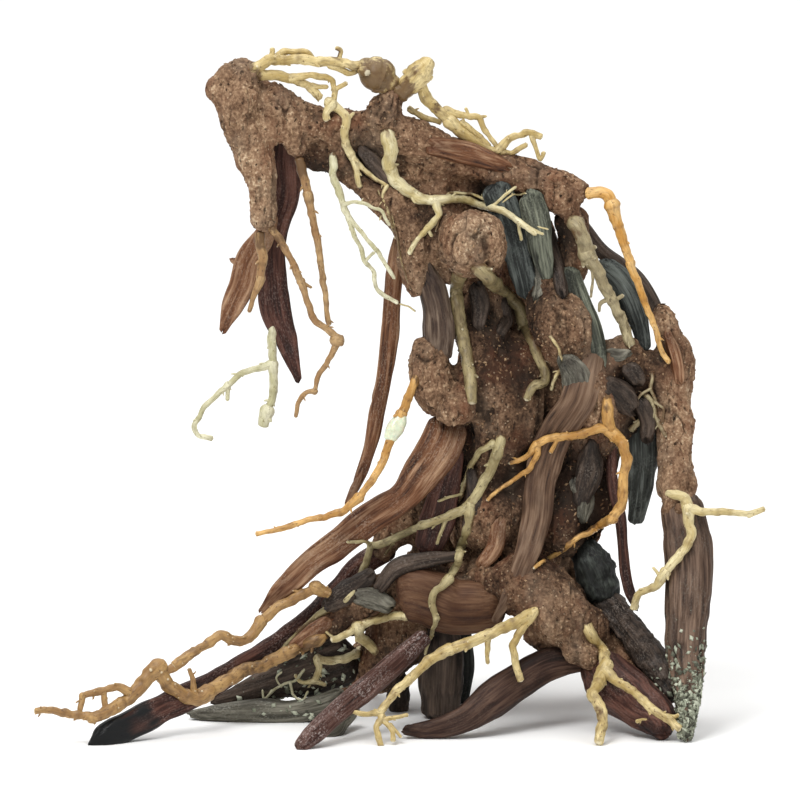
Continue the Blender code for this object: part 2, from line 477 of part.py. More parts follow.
def fused(mesh, cell, triangles):
    """The bodies of the mesh fused into one skin of about so many triangles."""
    def remesh(holder):
        skin = holder.modifiers.new("skin", "REMESH")
        skin.mode = "VOXEL"
        skin.voxel_size = cell

    fine = evaluated(mesh, remesh)
    fine_count = triangle_count(fine)

    def thin_out(holder):
        fewer = holder.modifiers.new("fewer", "DECIMATE")
        fewer.ratio = min(1.0, triangles / fine_count)
        fewer.use_collapse_triangulate = True

    return largest_body(evaluated(fine, thin_out))


def largest_body(mesh):
    """The mesh without the scraps that hang together with nothing."""
    work = bmesh.new()
    work.from_mesh(mesh)
    work.faces.ensure_lookup_table()
    unseen = set(work.faces)
    bodies = []
    while unseen:
        stack = [unseen.pop()]
        body = []
        while stack:
            face = stack.pop()
            body.append(face)
            for edge in face.edges:
                for other in edge.link_faces:
                    if other in unseen:
                        unseen.remove(other)
                        stack.append(other)
        bodies.append(body)
    bodies.sort(key=lambda body: sum(face.calc_area() for face in body))
    scraps = [face for body in bodies[:-1] for face in body]
    bmesh.ops.delete(work, geom=scraps, context="FACES")
    loose = [vert for vert in work.verts if not vert.link_faces]
    bmesh.ops.delete(work, geom=loose, context="VERTS")
    work.to_mesh(mesh)
    work.free()
    return mesh


def triangle_count(mesh):
    """Number of triangles that the faces of the mesh make."""
    return sum(len(face.vertices) - 2 for face in mesh.polygons)


def swollen(mesh, gap):
    """A copy of the mesh with each corner moved outwards by the gap."""
    def swell(holder):
        offset = holder.modifiers.new("offset", "DISPLACE")
        offset.strength = gap
        offset.mid_level = 0.0

    return evaluated(mesh.copy(), swell)


def grown(mesh, gap):
    """A clean copy of the mesh moved outwards by the gap, with about as many triangles."""
    def refine(holder):
        fine = holder.modifiers.new("fine", "REMESH")
        fine.mode = "VOXEL"
        fine.voxel_size = GROWTH_CELL

    fine_mesh = swollen(evaluated(mesh.copy(), refine), gap)
    return fused(fine_mesh, GROWTH_CELL, SOCKET_DETAIL * triangle_count(mesh))


def box_of(mesh):
    """Lowest and highest corner of the mesh."""
    points = np.empty(len(mesh.vertices) * 3)
    mesh.vertices.foreach_get("co", points)
    points = points.reshape(-1, 3)
    return points.min(axis=0), points.max(axis=0)


def boxes_meet(first, second):
    """Whether two boxes overlap."""
    return bool(np.all(first[0] < second[1]) and np.all(second[0] < first[1]))


def cut(mesh, cutter_mesh):
    """The mesh less the cutter, without scraps."""
    cutter = bpy.data.objects.new("cutter", cutter_mesh)
    cutter.hide_render = True
    cutter.display_type = "WIRE"
    bpy.context.scene.collection.objects.link(cutter)

    def subtract(holder):
        socket = holder.modifiers.new("socket", "BOOLEAN")
        socket.operation = "DIFFERENCE"
        socket.solver = "MANIFOLD"
        socket.object = cutter

    result = evaluated(mesh, subtract)
    bpy.data.objects.remove(cutter)
    return largest_body(result)


def shared_volume(mesh, other_mesh):
    """Volume in cubic millimetres that lies in both bodies."""
    other = bpy.data.objects.new("other", other_mesh)
    other.hide_render = True
    other.display_type = "WIRE"
    bpy.context.scene.collection.objects.link(other)

    def intersect(holder):
        common = holder.modifiers.new("common", "BOOLEAN")
        common.operation = "INTERSECT"
        common.solver = "MANIFOLD"
        common.object = other

    result = evaluated(mesh.copy(), intersect)
    bpy.data.objects.remove(other)
    work = bmesh.new()
    work.from_mesh(result)
    volume = abs(work.calc_volume()) / MM ** 3
    work.free()
    return volume


class Neighbour:
    """A finished piece, its box, and the grown copies that cut its sockets."""

    def __init__(self, mesh):
        """Keep the mesh and its box, widened by the gap."""
        low, high = box_of(mesh)
        self.mesh = mesh
        self.box = (low - FIT_GAP, high + FIT_GAP)
        self.copies = {}

    def cutter(self, grow, widening):
        """A grown copy, made once for each way and widening."""
        key = (grow.__name__, widening)
        if key not in self.copies:
            self.copies[key] = grow(self.mesh, widening * FIT_GAP)
        return self.copies[key].copy()

    def cleared_from(self, mesh):
        """The mesh with a socket for this piece, wider where a thin edge still touches."""
        best = mesh
        least = math.inf
        for grow, widening in SOCKET_TRIES:
            fitted = cut(mesh.copy(), self.cutter(grow, widening))
            shared = shared_volume(fitted, self.mesh)
            if shared < least:
                best = fitted
                least = shared
            if least < TOUCH_VOLUME:
                return best
        for grow, widening in SOCKET_TRIES:
            best = cut(best, self.cutter(grow, widening))
            if shared_volume(best, self.mesh) < TOUCH_VOLUME:
                break
        return best


# Ways to make a socket, tried in turn: how the copy grows and by how many gaps
SOCKET_TRIES = [(grown, 1.0), (grown, 1.6), (grown, 2.4), (grown, 3.5), (swollen, 1.5)]


def surface_of(mesh):
    """Search tree over the faces of the mesh."""
    work = bmesh.new()
    work.from_mesh(mesh)
    tree = BVHTree.FromBMesh(work)
    work.free()
    return tree


def front_depth(trees, across, down):
    """Depth in millimetres where the line of sight first meets one of the surfaces."""
    start = place(across, down, -150.0)
    sight = Vector((0.0, COS_LIFT, -SIN_LIFT))
    nearest = None
    for tree in trees:
        hit = tree.ray_cast(start, sight)[0]
        if hit is not None and (nearest is None or hit.y < nearest):
            nearest = hit.y
    return None if nearest is None else nearest / MM


def seated_depths(points, half_widths, wood_trees, root_trees):
    """Depth of each point; one without a depth lies on the wood or in front of a root."""
    depths = []
    for point, half_width in zip(points, half_widths):
        if point[2] is not None:
            depths.append(point[2])
            continue
        radius = half_width * UNIT / MM
        choices = []
        wood = front_depth(wood_trees, point[0], point[1])
        if wood is not None:
            choices.append(wood - SEAT_SHARE * radius)
        for side in (-1.0, 0.0, 1.0):
            crossing = front_depth(root_trees, point[0] + side * half_width,
                                   point[1] + side * half_width)
            if crossing is not None:
                choices.append(crossing - radius - ROOT_CLEARANCE / MM)
        depths.append(min(choices) if choices else math.nan)
    depths = np.array(depths)
    known = ~np.isnan(depths)
    places = np.arange(len(depths))
    depths = np.interp(places, places[known], depths[known]) if known.any() else depths * 0.0
    fixed = np.array([point[2] is not None for point in points])
    padded = np.concatenate([depths[:1], depths, depths[-1:]])
    smooth = (padded[:-2] + padded[1:-1] + padded[2:]) / 3.0
    return np.where(fixed, depths, np.minimum(depths, smooth))


def finely(points, step):
    """The route with points added so that no stretch is longer than the step."""
    route = [points[0]]
    for start, end in zip(points[:-1], points[1:]):
        length = math.hypot(end[0] - start[0], end[1] - start[1])
        pieces = max(1, math.ceil(length / step))
        for index in range(1, pieces + 1):
            share = index / pieces
            depth = None
            if start[2] is not None and end[2] is not None:
                depth = start[2] + share * (end[2] - start[2])
            if index == pieces:
                depth = end[2]
            route.append((start[0] + share * (end[0] - start[0]),
                          start[1] + share * (end[1] - start[1]), depth))
    return route


def limb_meshes(limbs, flatness, sides, trees):
    """Tubes along the limbs, their depth thickness a share of their width."""
    meshes = []
    for limb in limbs:
        half_widths = [point[3] for point in limb]
        depths = seated_depths([point[:3] for point in limb],
                               [width * flatness for width in half_widths], trees, [])
        points = [place(point[0], point[1], depth) for point, depth in zip(limb, depths)]
        stretched = [Vector((point.x, point.y / flatness, point.z)) for point in points]
        mesh = tube_mesh(stretched, [width * UNIT for width in half_widths], sides)
        for vertex in mesh.vertices:
            vertex.co.y *= flatness
        meshes.append(mesh)
    return meshes


def root_mesh(branches, wood_trees, root_trees):
    """Root system: its branches laid out, fused and thinned out to few triangles."""
    meshes = []
    length = 0.0
    settled = {}
    for first_width, last_width, raw in branches:
        knots = [(point[0], point[1], point[2] if len(point) > 2 else settled.get(point[:2]))
                 for point in raw]
        route = finely(knots, ROOT_STEP)
        shares = np.linspace(0.0, 1.0, len(route))
        half_widths = 0.5 * (first_width + shares * (last_width - first_width))
        depths = seated_depths(route, half_widths, wood_trees, root_trees)
        settled.update({spot[:2]: depth for spot, depth in zip(route, depths)})
        points = [place(spot[0], spot[1], depth) for spot, depth in zip(route, depths)]
        radii = [max(THINNEST_ROOT, width * UNIT) for width in half_widths]
        length += sum((b - a).length for a, b in zip(points[:-1], points[1:]))
        meshes.append(tube_mesh(points, radii, 8))
    triangles = max(ROOT_TRIANGLES_LEAST, length * ROOT_TRIANGLES_PER_METRE)
    return fused(joined(meshes), ROOT_CELL, triangles)


def floor_mesh(box):
    """Block under the plane z = 0 that trims the feet flat."""
    work = bmesh.new()
    bmesh.ops.create_cube(work, size=1.0)
    size = (box[1] - box[0]) + 0.02
    centre = 0.5 * (box[0] + box[1])
    for vertex in work.verts:
        vertex.co.x = vertex.co.x * size[0] + centre[0]
        vertex.co.y = vertex.co.y * size[1] + centre[1]
        vertex.co.z = (vertex.co.z - 0.5) * 0.05
    mesh = bpy.data.meshes.new("floor")
    work.to_mesh(mesh)
    work.free()
    return mesh


def finish(name):
    """Material of the named finish."""
    material = bpy.data.materials.get(name)
    if material is None:
        colour, roughness = FINISHES[name]
        material = bpy.data.materials.new(name)
        material.use_nodes = True
        shader = material.node_tree.nodes["Principled BSDF"]
        shader.inputs["Base Color"].default_value = (*colour, 1.0)
        shader.inputs["Roughness"].default_value = roughness
        shader.inputs["Metallic"].default_value = 0.0
    return material


def add_piece(collection, name, mesh, finish_name):
    """The finished piece as an object of its own."""
    mesh.name = name
    mesh.materials.clear()
    mesh.materials.append(finish(finish_name))
    mesh.shade_smooth()
    mesh.set_sharp_from_angle(angle=math.radians(50.0))
    piece = bpy.data.objects.new(name, mesh)
    collection.objects.link(piece)
    return piece


def main():
    """Build every piece, from the roots inwards, and seat each in its sockets."""
    for old in list(bpy.data.objects):
        bpy.data.objects.remove(old)
    collection = bpy.data.collections.new(COLLECTION)
    bpy.context.scene.collection.children.link(collection)

    trunk = fused(joined(limb_meshes(TRUNK_LIMBS, 1.0, 10, [])), TRUNK_CELL, TRUNK_TRIANGLES)
    trunk_tree = surface_of(trunk)
    wood = []
    for name, finish_name, flatness, sides, limbs in WOOD_PIECES:
        meshes = limb_meshes(limbs, flatness, sides, [trunk_tree])
        mesh = meshes[0]
        if len(meshes) > 1:
            mesh = fused(joined(meshes), ROOT_CELL, 200)
        wood.append([name, mesh, finish_name])
    wood_trees = [trunk_tree] + [surface_of(mesh) for _, mesh, _ in wood]

    roots = []
    root_trees = []
    for name, finish_name, branches in ROOT_PIECES:
        mesh = root_mesh(branches, wood_trees, root_trees)
        roots.append([name, mesh, finish_name])
        root_trees.append(surface_of(mesh))

    done = []
    for entry in roots + wood + [["mortar_trunk", trunk, "mortar"]]:
        name, mesh, finish_name = entry
        box = box_of(mesh)
        for neighbour in done:
            if boxes_meet(box, neighbour.box) and shared_volume(
                    mesh, neighbour.cutter(swollen, 1.0)) > TOUCH_VOLUME:
                mesh = neighbour.cleared_from(mesh)
        if box[0][2] < 0.0:
            mesh = cut(mesh, floor_mesh(box))
        done.append(Neighbour(mesh))
        add_piece(collection, name, mesh, finish_name)


main()
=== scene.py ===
"""Dressed model of a bonsai driftwood root: slats, logs and fine roots on a crumbled mortar trunk."""
from __future__ import annotations

import logging
import math
from dataclasses import dataclass, field
from enum import Enum

import bpy
import numpy as np
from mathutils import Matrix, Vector
from mathutils.bvhtree import BVHTree

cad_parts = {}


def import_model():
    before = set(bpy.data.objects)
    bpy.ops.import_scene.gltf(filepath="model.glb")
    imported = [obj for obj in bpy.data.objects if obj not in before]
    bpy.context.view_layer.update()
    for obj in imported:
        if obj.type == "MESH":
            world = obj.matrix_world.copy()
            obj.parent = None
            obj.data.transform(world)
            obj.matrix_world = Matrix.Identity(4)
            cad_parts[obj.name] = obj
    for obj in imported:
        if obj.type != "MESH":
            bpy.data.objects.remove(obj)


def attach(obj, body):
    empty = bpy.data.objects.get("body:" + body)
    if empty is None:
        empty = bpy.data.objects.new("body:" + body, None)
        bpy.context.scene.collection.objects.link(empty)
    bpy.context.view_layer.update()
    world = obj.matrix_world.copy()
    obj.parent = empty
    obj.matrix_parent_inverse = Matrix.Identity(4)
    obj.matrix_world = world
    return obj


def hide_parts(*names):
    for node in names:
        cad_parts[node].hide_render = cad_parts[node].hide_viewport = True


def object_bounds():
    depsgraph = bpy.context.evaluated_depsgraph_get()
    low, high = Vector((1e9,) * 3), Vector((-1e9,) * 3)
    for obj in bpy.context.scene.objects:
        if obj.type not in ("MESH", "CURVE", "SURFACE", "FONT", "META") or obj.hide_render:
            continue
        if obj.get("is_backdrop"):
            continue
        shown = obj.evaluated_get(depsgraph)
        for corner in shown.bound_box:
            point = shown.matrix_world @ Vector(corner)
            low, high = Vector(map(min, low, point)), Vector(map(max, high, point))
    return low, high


LOG = logging.getLogger("bonsai_root")

# The view that the routes are read from: places are (across, down) in view units
OVERALL_WIDTH = 0.300
LEFT_END = 35.0
RIGHT_END = 766.0
GROUND_LINE = 718.0
VIEW_LIFT_DEG = 10.0
MM = 0.001
UNIT = OVERALL_WIDTH / (RIGHT_END - LEFT_END)
MOST_TRIANGLES = 180000
MIDDLE = 0.5 * (LEFT_END + RIGHT_END)
SIN_LIFT = math.sin(math.radians(VIEW_LIFT_DEG))
COS_LIFT = math.cos(math.radians(VIEW_LIFT_DEG))
SEAT_SHARE = 0.55
ROOT_CLEARANCE_MM = 0.9
ROOT_STEP = 14.0
THINNEST_MM = 0.4
INSIDE = 1e-5

# Whole numbers that mix lattice corners and seeds into a number that looks random
CORNER_FACTORS = (73856093, 19349663, 83492791)
SEED_FACTOR = 2654435761
LOW_WORD = 0xFFFFFFFF
LOW_BITS = 0xFFFFFF


def linear(code: str) -> tuple:
    """Linear red, green, blue and alpha of an sRGB hex colour.

    Args:
        code: Six hex digits with a leading hash.

    Returns:
        Four numbers from 0 to 1.
    """
    parts = [int(code[i:i + 2], 16) / 255.0 for i in (1, 3, 5)]
    return tuple(p / 12.92 if p <= 0.04045 else ((p + 0.055) / 1.055) ** 2.4 for p in parts) + (1.0,)


def place(across: float | np.ndarray, down: float | np.ndarray, depth: float | np.ndarray) -> np.ndarray:
    """World points of view points that lie depth millimetres behind the middle plane.

    Args:
        across: View units from the left edge of the view.
        down: View units from its top edge.
        depth: Millimetres behind the middle plane.

    Returns:
        Array of points: x is the offset from the middle times the unit, y the depth, and z
        the rise over the ground line less what the lifted view adds with depth.
    """
    x = (np.asarray(across, float) - MIDDLE) * UNIT
    y = np.asarray(depth, float) * MM
    z = ((GROUND_LINE - np.asarray(down, float)) * UNIT - y * SIN_LIFT) / COS_LIFT
    return np.stack(np.broadcast_arrays(x, y, z), axis=-1)


def hashed(i: np.ndarray, j: np.ndarray, k: np.ndarray, seed: int) -> np.ndarray:
    """Number for each lattice corner, by mixing its three whole numbers and the seed.

    Args:
        i: First whole numbers.
        j: Second whole numbers.
        k: Third whole numbers.
        seed: Picks the pattern.

    Returns:
        Numbers from 0 to 1 that look random.
    """
    mask = np.int64(LOW_WORD)
    n = i * CORNER_FACTORS[0] ^ j * CORNER_FACTORS[1] ^ k * CORNER_FACTORS[2]
    n = (n ^ np.int64(seed * SEED_FACTOR & LOW_WORD)) & mask
    n = ((n ^ (n >> 15)) * 739982445) & mask
    n = ((n ^ (n >> 12)) * 695872825) & mask
    n = n ^ (n >> 15)
    return (n & LOW_BITS) / float(LOW_BITS)


def smooth_noise(points: np.ndarray, cell: float, seed: int) -> np.ndarray:
    """Value noise from -1 to 1.

    Args:
        points: Positions, in the same unit as the cell.
        cell: Edge of the lattice.
        seed: Picks the pattern.

    Returns:
        For each point the blend of its eight lattice corners' numbers, with the weights
        t^3 (6 t^2 - 15 t + 10) of the place in the cell.
    """
    scaled = points / cell
    low = np.floor(scaled)
    share = scaled - low
    share = share ** 3 * (share * (share * 6.0 - 15.0) + 10.0)
    low = low.astype(np.int64)
    total = np.zeros(len(points))
    for di in (0, 1):
        wi = share[:, 0] if di else 1.0 - share[:, 0]
        for dj in (0, 1):
            wj = share[:, 1] if dj else 1.0 - share[:, 1]
            for dk in (0, 1):
                wk = share[:, 2] if dk else 1.0 - share[:, 2]
                total += wi * wj * wk * hashed(low[:, 0] + di, low[:, 1] + dj, low[:, 2] + dk, seed)
    return total * 2.0 - 1.0


def drawn_noise(points: np.ndarray, upright: float, cell: float, seed: int) -> np.ndarray:
    """Smooth noise that is 1 / upright as long along the third axis as across it."""
    return smooth_noise(points * np.array([1.0, 1.0, upright]), cell, seed)


def unit(value: np.ndarray) -> np.ndarray:
    """The value kept between 0 and 1."""
    return np.clip(value, 0.0, 1.0)


def bell(away: np.ndarray) -> np.ndarray:
    """Bell curve exp(-d^2) of the distance."""
    return np.exp(-away ** 2)


def grains(points: np.ndarray, cell: float, seed: int) -> tuple:
    """Nearest jittered lattice point of each position.

    Args:
        points: Positions, in the same unit as the cell.
        cell: Mean distance between grains.
        seed: Picks the pattern.

    Returns:
        Distance to the nearest grain, in cells, and that grain's number from 0 to 1.
    """
    scaled = points / cell
    low = np.floor(scaled).astype(np.int64)
    nearest = np.full(len(points), np.inf)
    number = np.zeros(len(points))
    for di in (-1, 0, 1):
        for dj in (-1, 0, 1):
            for dk in (-1, 0, 1):
                i = low[:, 0] + di
                j = low[:, 1] + dj
                k = low[:, 2] + dk
                spot = np.stack([i + hashed(i, j, k, seed), j + hashed(i, j, k, seed + 1),
                                 k + hashed(i, j, k, seed + 2)], axis=1)
                far = np.linalg.norm(spot - scaled, axis=1)
                nearer = far < nearest
                number = np.where(nearer, hashed(i, j, k, seed + 3), number)
                nearest = np.where(nearer, far, nearest)
    return nearest, number


def smooth_route(knots: np.ndarray, step: float) -> np.ndarray:
    """Evenly spaced route through the knots.

    Args:
        knots: Rows of x, y, z and any further values to carry along, such as half widths.
        step: Distance between the new points.

    Returns:
        Rows on the cubic Hermite curve through the knots, whose slopes are the finite
        differences of the knots over the distance travelled.
    """
    gaps = np.linalg.norm(np.diff(knots[:, :3], axis=0), axis=1)
    keep = np.concatenate([[True], gaps > 1e-6])
    knots = knots[keep]
    gaps = np.linalg.norm(np.diff(knots[:, :3], axis=0), axis=1)
    along = np.concatenate([[0.0], np.cumsum(gaps)])
    slopes = np.gradient(knots, along, axis=0) if len(knots) > 2 else \
        np.repeat((knots[1:] - knots[:1]) / along[1], 2, axis=0)
    count = max(4, int(math.ceil(along[-1] / step)) + 1)
    spots = np.linspace(0.0, along[-1], count)
    index = np.clip(np.searchsorted(along, spots, side="right") - 1, 0, len(gaps) - 1)
    gap = gaps[index][:, None]
    t = (spots[:, None] - along[index][:, None]) / gap
    return ((2 * t ** 3 - 3 * t ** 2 + 1) * knots[index] + (t ** 3 - 2 * t ** 2 + t) * gap * slopes[index]
            + (3 * t ** 2 - 2 * t ** 3) * knots[index + 1] + (t ** 3 - t ** 2) * gap * slopes[index + 1])


@dataclass
class Surface:
    """Vertices, faces and per-vertex values of a mesh, all as whole arrays."""

    points: np.ndarray
    quads: np.ndarray
    triangles: np.ndarray
    values: dict = field(default_factory=dict)

    def merged(self, others: list) -> "Surface":
        """This surface and the others as one, each still closed by itself.

        Args:
            others: Surfaces with the same named values.

        Returns:
            The joined surface.
        """
        every = [self] + others
        starts = np.cumsum([0] + [len(one.points) for one in every[:-1]])
        return Surface(
            np.concatenate([one.points for one in every]),
            np.concatenate([one.quads + start for one, start in zip(every, starts)]),
            np.concatenate([one.triangles + start for one, start in zip(every, starts)]),
            {name: np.concatenate([one.values[name] for one in every]) for name in self.values},
        )

    def corners(self) -> np.ndarray:
        """Vertex numbers of the faces, each quad as two triangles."""
        return np.concatenate([self.quads[:, [0, 1, 2]], self.quads[:, [0, 2, 3]], self.triangles])

    def normals(self) -> np.ndarray:
        """Direction that the surface faces at each vertex.

        Returns:
            Unit vectors along the sum of the cross products of the vertex's faces.
        """
        corners = self.corners()
        p = self.points
        cross = np.cross(p[corners[:, 1]] - p[corners[:, 0]], p[corners[:, 2]] - p[corners[:, 0]])
        total = np.zeros_like(p)
        for column in range(3):
            for axis in range(3):
                total[:, axis] += np.bincount(corners[:, column], cross[:, axis], len(p))
        return total / np.maximum(np.linalg.norm(total, axis=1, keepdims=True), 1e-12)

    def outward(self) -> "Surface":
        """Turn the faces so that the volume they close is positive.

        Returns:
            The same surface.
        """
        first, second, third = (self.points[self.corners()[:, column]] for column in range(3))
        if np.einsum("ij,ij->i", first, np.cross(second, third)).sum() < 0.0:
            self.quads = self.quads[:, ::-1]
            self.triangles = self.triangles[:, ::-1]
        return self

    def relaxed(self, rounds: int, share: float) -> "Surface":
        """The surface with each vertex moved a share towards the mean of its neighbours.

        Args:
            rounds: How often.
            share: Part of the way, from 0 to 1.

        Returns:
            The same surface, smoothed.
        """
        edges = np.concatenate([self.quads[:, [0, 1]], self.quads[:, [1, 2]], self.quads[:, [2, 3]],
                                self.quads[:, [3, 0]], self.triangles[:, [0, 1]],
                                self.triangles[:, [1, 2]], self.triangles[:, [2, 0]]])
        ends = np.concatenate([edges[:, 0], edges[:, 1]])
        others = np.concatenate([edges[:, 1], edges[:, 0]])
        count = np.maximum(np.bincount(ends, minlength=len(self.points)), 1)[:, None]
        for _ in range(rounds):
            mean = np.stack([np.bincount(ends, self.points[others, axis], len(self.points))
                             for axis in range(3)], axis=1) / count
            self.points = self.points + share * (mean - self.points)
        return self

    def mesh(self, name: str) -> bpy.types.Mesh:
        """Blender mesh of the surface, shaded smooth, with its named values as attributes.

        Args:
            name: Name of the mesh.

        Returns:
            The new mesh.
        """
        made = bpy.data.meshes.new(name)
        made.vertices.add(len(self.points))
        made.vertices.foreach_set("co", self.points.astype(np.float32).ravel())
        corner_count = 4 * len(self.quads) + 3 * len(self.triangles)
        made.loops.add(corner_count)
        made.loops.foreach_set("vertex_index", np.concatenate(
            [self.quads.ravel(), self.triangles.ravel()]).astype(np.int32))
        made.polygons.add(len(self.quads) + len(self.triangles))
        starts = np.concatenate([np.arange(len(self.quads)) * 4,
                                 4 * len(self.quads) + np.arange(len(self.triangles)) * 3])
        made.polygons.foreach_set("loop_start", starts.astype(np.int32))
        made.update(calc_edges=True)
        made.validate()
        for key, value in self.values.items():
            kind = "FLOAT_VECTOR" if value.ndim == 2 else "FLOAT"
            layer = made.attributes.new(key, kind, "POINT")
            layer.data.foreach_set("vector" if value.ndim == 2 else "value",
                                   value.astype(np.float32).ravel())
        made.shade_smooth()
        return made


def swept(route: np.ndarray, sides: int, flatness: float = 1.0, squareness: float = 2.0,
          round_ends: tuple = (0.8, 0.8)) -> Surface:
    """Closed surface of one cross-section carried along a route.

    Args:
        route: Rows of x, y, z and half width, evenly spaced.
        sides: Points around the section.
        flatness: Thickness over width; the thickness lies along the depth.
        squareness: Exponent of the superellipse |x|^n + |y|^n = 1 of the section.
        round_ends: How long the rounding at each end is, in half widths.

    Returns:
        Surface with the values "straight" (place in the straightened piece, in mm), "around"
        (angle), "along" (mm from the start) and "share" (along over the length). A ring's points
        are the route point plus the half width times the section's two coordinates along the
        two axes across the route.
    """
    spots = route[:, :3]
    tangent = np.gradient(spots, axis=0)
    tangent /= np.linalg.norm(tangent, axis=1, keepdims=True)
    deep = np.array([0.0, 1.0, 0.0]) - tangent[:, 1:2] * tangent
    deep += 1e-6 * np.array([1.0, 0.0, 0.3])
    deep /= np.linalg.norm(deep, axis=1, keepdims=True)
    wide = np.cross(tangent, deep)
    gaps = np.linalg.norm(np.diff(spots, axis=0), axis=1)
    along = np.concatenate([[0.0], np.cumsum(gaps)])
    half = route[:, 3].copy()
    for flipped, share in ((False, round_ends[0]), (True, round_ends[1])):
        away = along[-1] - along if flipped else along
        reach = max(share * (half[-1] if flipped else half[0]), 1e-5)
        t = np.clip(away / reach, 0.0, 1.0)
        half *= np.sqrt(np.clip(1.0 - (1.0 - t) ** 2, 0.05, 1.0))
    angle = np.linspace(0.0, 2.0 * math.pi, sides, endpoint=False) + 0.5 * math.pi
    power = 2.0 / squareness
    ex = np.sign(np.cos(angle)) * np.abs(np.cos(angle)) ** power
    ey = np.sign(np.sin(angle)) * np.abs(np.sin(angle)) ** power * flatness
    rings = (spots[:, None, :] + half[:, None, None]
             * (ex[None, :, None] * wide[:, None, :] + ey[None, :, None] * deep[:, None, :]))
    count = len(spots)
    points = np.concatenate([rings.reshape(-1, 3), spots[:1], spots[-1:]])
    i, j = np.meshgrid(np.arange(count - 1), np.arange(sides), indexing="ij")
    k = (j + 1) % sides
    quads = np.stack([i * sides + j, i * sides + k, (i + 1) * sides + k, (i + 1) * sides + j],
                     axis=-1).reshape(-1, 4)
    ring = np.arange(sides)
    after = (ring + 1) % sides
    last = (count - 1) * sides
    first_pole = np.full(sides, count * sides)
    triangles = np.concatenate([np.stack([after, ring, first_pole], axis=1),
                                np.stack([last + ring, last + after, first_pole + 1], axis=1)])
    straight = np.stack(np.broadcast_arrays(
        half[:, None] / MM * ex[None, :], half[:, None] / MM * ey[None, :], along[:, None] / MM),
        axis=-1).reshape(-1, 3)
    poles = np.array([[0.0, 0.0, 0.0], [0.0, 0.0, along[-1] / MM]])
    along_mm = np.concatenate([np.repeat(along / MM, sides), [0.0, along[-1] / MM]])
    share = along_mm / max(along_mm[-1], 1e-9)
    values = {
        "straight": np.concatenate([straight, poles]),
        "around": np.concatenate([np.tile(angle, count), [0.0, 0.0]]),
        "along": along_mm,
        "share": share,
    }
    return Surface(points, quads, triangles, values).outward()


def fused(surface: Surface, cell: float) -> Surface:
    """One closed skin over all the bodies of a surface.

    Args:
        surface: Closed bodies that overlap.
        cell: Edge of the voxels that the skin follows.

    Returns:
        The skin, as Blender's voxel Remesh modifier makes it.
    """
    holder = bpy.data.objects.new("limbs", surface.mesh("limbs"))
    bpy.context.scene.collection.objects.link(holder)
    skin = holder.modifiers.new("skin", "REMESH")
    skin.mode = "VOXEL"
    skin.voxel_size = cell
    graph = bpy.context.evaluated_depsgraph_get()
    mesh = bpy.data.meshes.new_from_object(holder.evaluated_get(graph))
    bpy.data.objects.remove(holder)
    points = np.empty(len(mesh.vertices) * 3)
    mesh.vertices.foreach_get("co", points)
    totals = np.empty(len(mesh.polygons), int)
    mesh.polygons.foreach_get("loop_total", totals)
    corners = np.empty(len(mesh.loops), int)
    mesh.loops.foreach_get("vertex_index", corners)
    bpy.data.meshes.remove(mesh)
    if not np.all(totals == 4):
        raise RuntimeError("the skin has faces that aren't quads")
    return Surface(points.reshape(-1, 3), corners.reshape(-1, 4), np.zeros((0, 3), int)).outward()


def thinned(mesh: bpy.types.Mesh, most: int) -> bpy.types.Mesh:
    """The mesh with its flatter faces merged until it has no more triangles than the given number.

    Args:
        mesh: Closed mesh of quads.
        most: Number of triangles to keep.

    Returns:
        The thinned mesh, or the same one where it is small enough.
    """
    share = most / (2.0 * len(mesh.polygons))
    if share >= 1.0:
        return mesh
    holder = bpy.data.objects.new("dense", mesh)
    bpy.context.scene.collection.objects.link(holder)
    holder.modifiers.new("thin", "DECIMATE").ratio = share
    graph = bpy.context.evaluated_depsgraph_get()
    thin = bpy.data.meshes.new_from_object(
        holder.evaluated_get(graph), preserve_all_data_layers=True, depsgraph=graph)
    bpy.data.objects.remove(holder)
    thin.name = mesh.name
    bpy.data.meshes.remove(mesh)
    return thin


def seen_depth(trees: list, across: float, down: float) -> float:
    """Depth in mm where the line of sight through a view point first meets one of the trees.

    Args:
        trees: Search trees over surfaces.
        across: View units from the left.
        down: View units from the top.

    Returns:
        The depth, or infinity where nothing is met.
    """
    start = Vector(place(across, down, -150.0))
    sight = Vector((0.0, COS_LIFT, -SIN_LIFT))
    hits = [tree.ray_cast(start, sight)[0] for tree in trees]
    return min([hit.y / MM for hit in hits if hit is not None], default=math.inf)


def seated(points: list, half_widths: list, wood: list, roots: list) -> list:
    """Depth of each route point; one without a depth lies on the wood or over a root.

    Args:
        points: Rows of across, down and depth or None.
        half_widths: Half widths in view units.
        wood: Search trees of the wood and the trunk.
        roots: Search trees of the roots laid before.

    Returns:
        Depths in mm, evened out where they were found.
    """
    depths = []
    for point, half in zip(points, half_widths):
        if point[2] is not None:
            depths.append(point[2])
            continue
        radius = half * UNIT / MM
        choices = [seen_depth(wood, point[0], point[1]) - SEAT_SHARE * radius]
        choices += [seen_depth(roots, point[0] + side * half, point[1] + side * half)
                    - radius - ROOT_CLEARANCE_MM for side in (-1.0, 0.0, 1.0)]
        depths.append(min(choices))
    found = np.array(depths, float)
    known = np.isfinite(found)
    places = np.arange(len(found))
    found = np.interp(places, places[known], found[known]) if known.any() else found * 0.0
    fixed = np.array([point[2] is not None for point in points])
    padded = np.concatenate([found[:1], found, found[-1:]])
    even = (padded[:-2] + padded[1:-1] + padded[2:]) / 3.0
    return list(np.where(fixed, found, np.minimum(found, even)))


def tree_of(surface: Surface) -> BVHTree:
    """Search tree over the faces of a surface."""
    return BVHTree.FromPolygons(surface.points.tolist(), surface.quads.tolist() + surface.triangles.tolist())


class Pattern(Enum):
    """How the wood of a piece is marked; the value is how deep its cracks go, in mm."""

    SMOOTH = 0.25
    FIBROUS = 0.7
    RIBBED = 0.9
    CRUST = 0.3


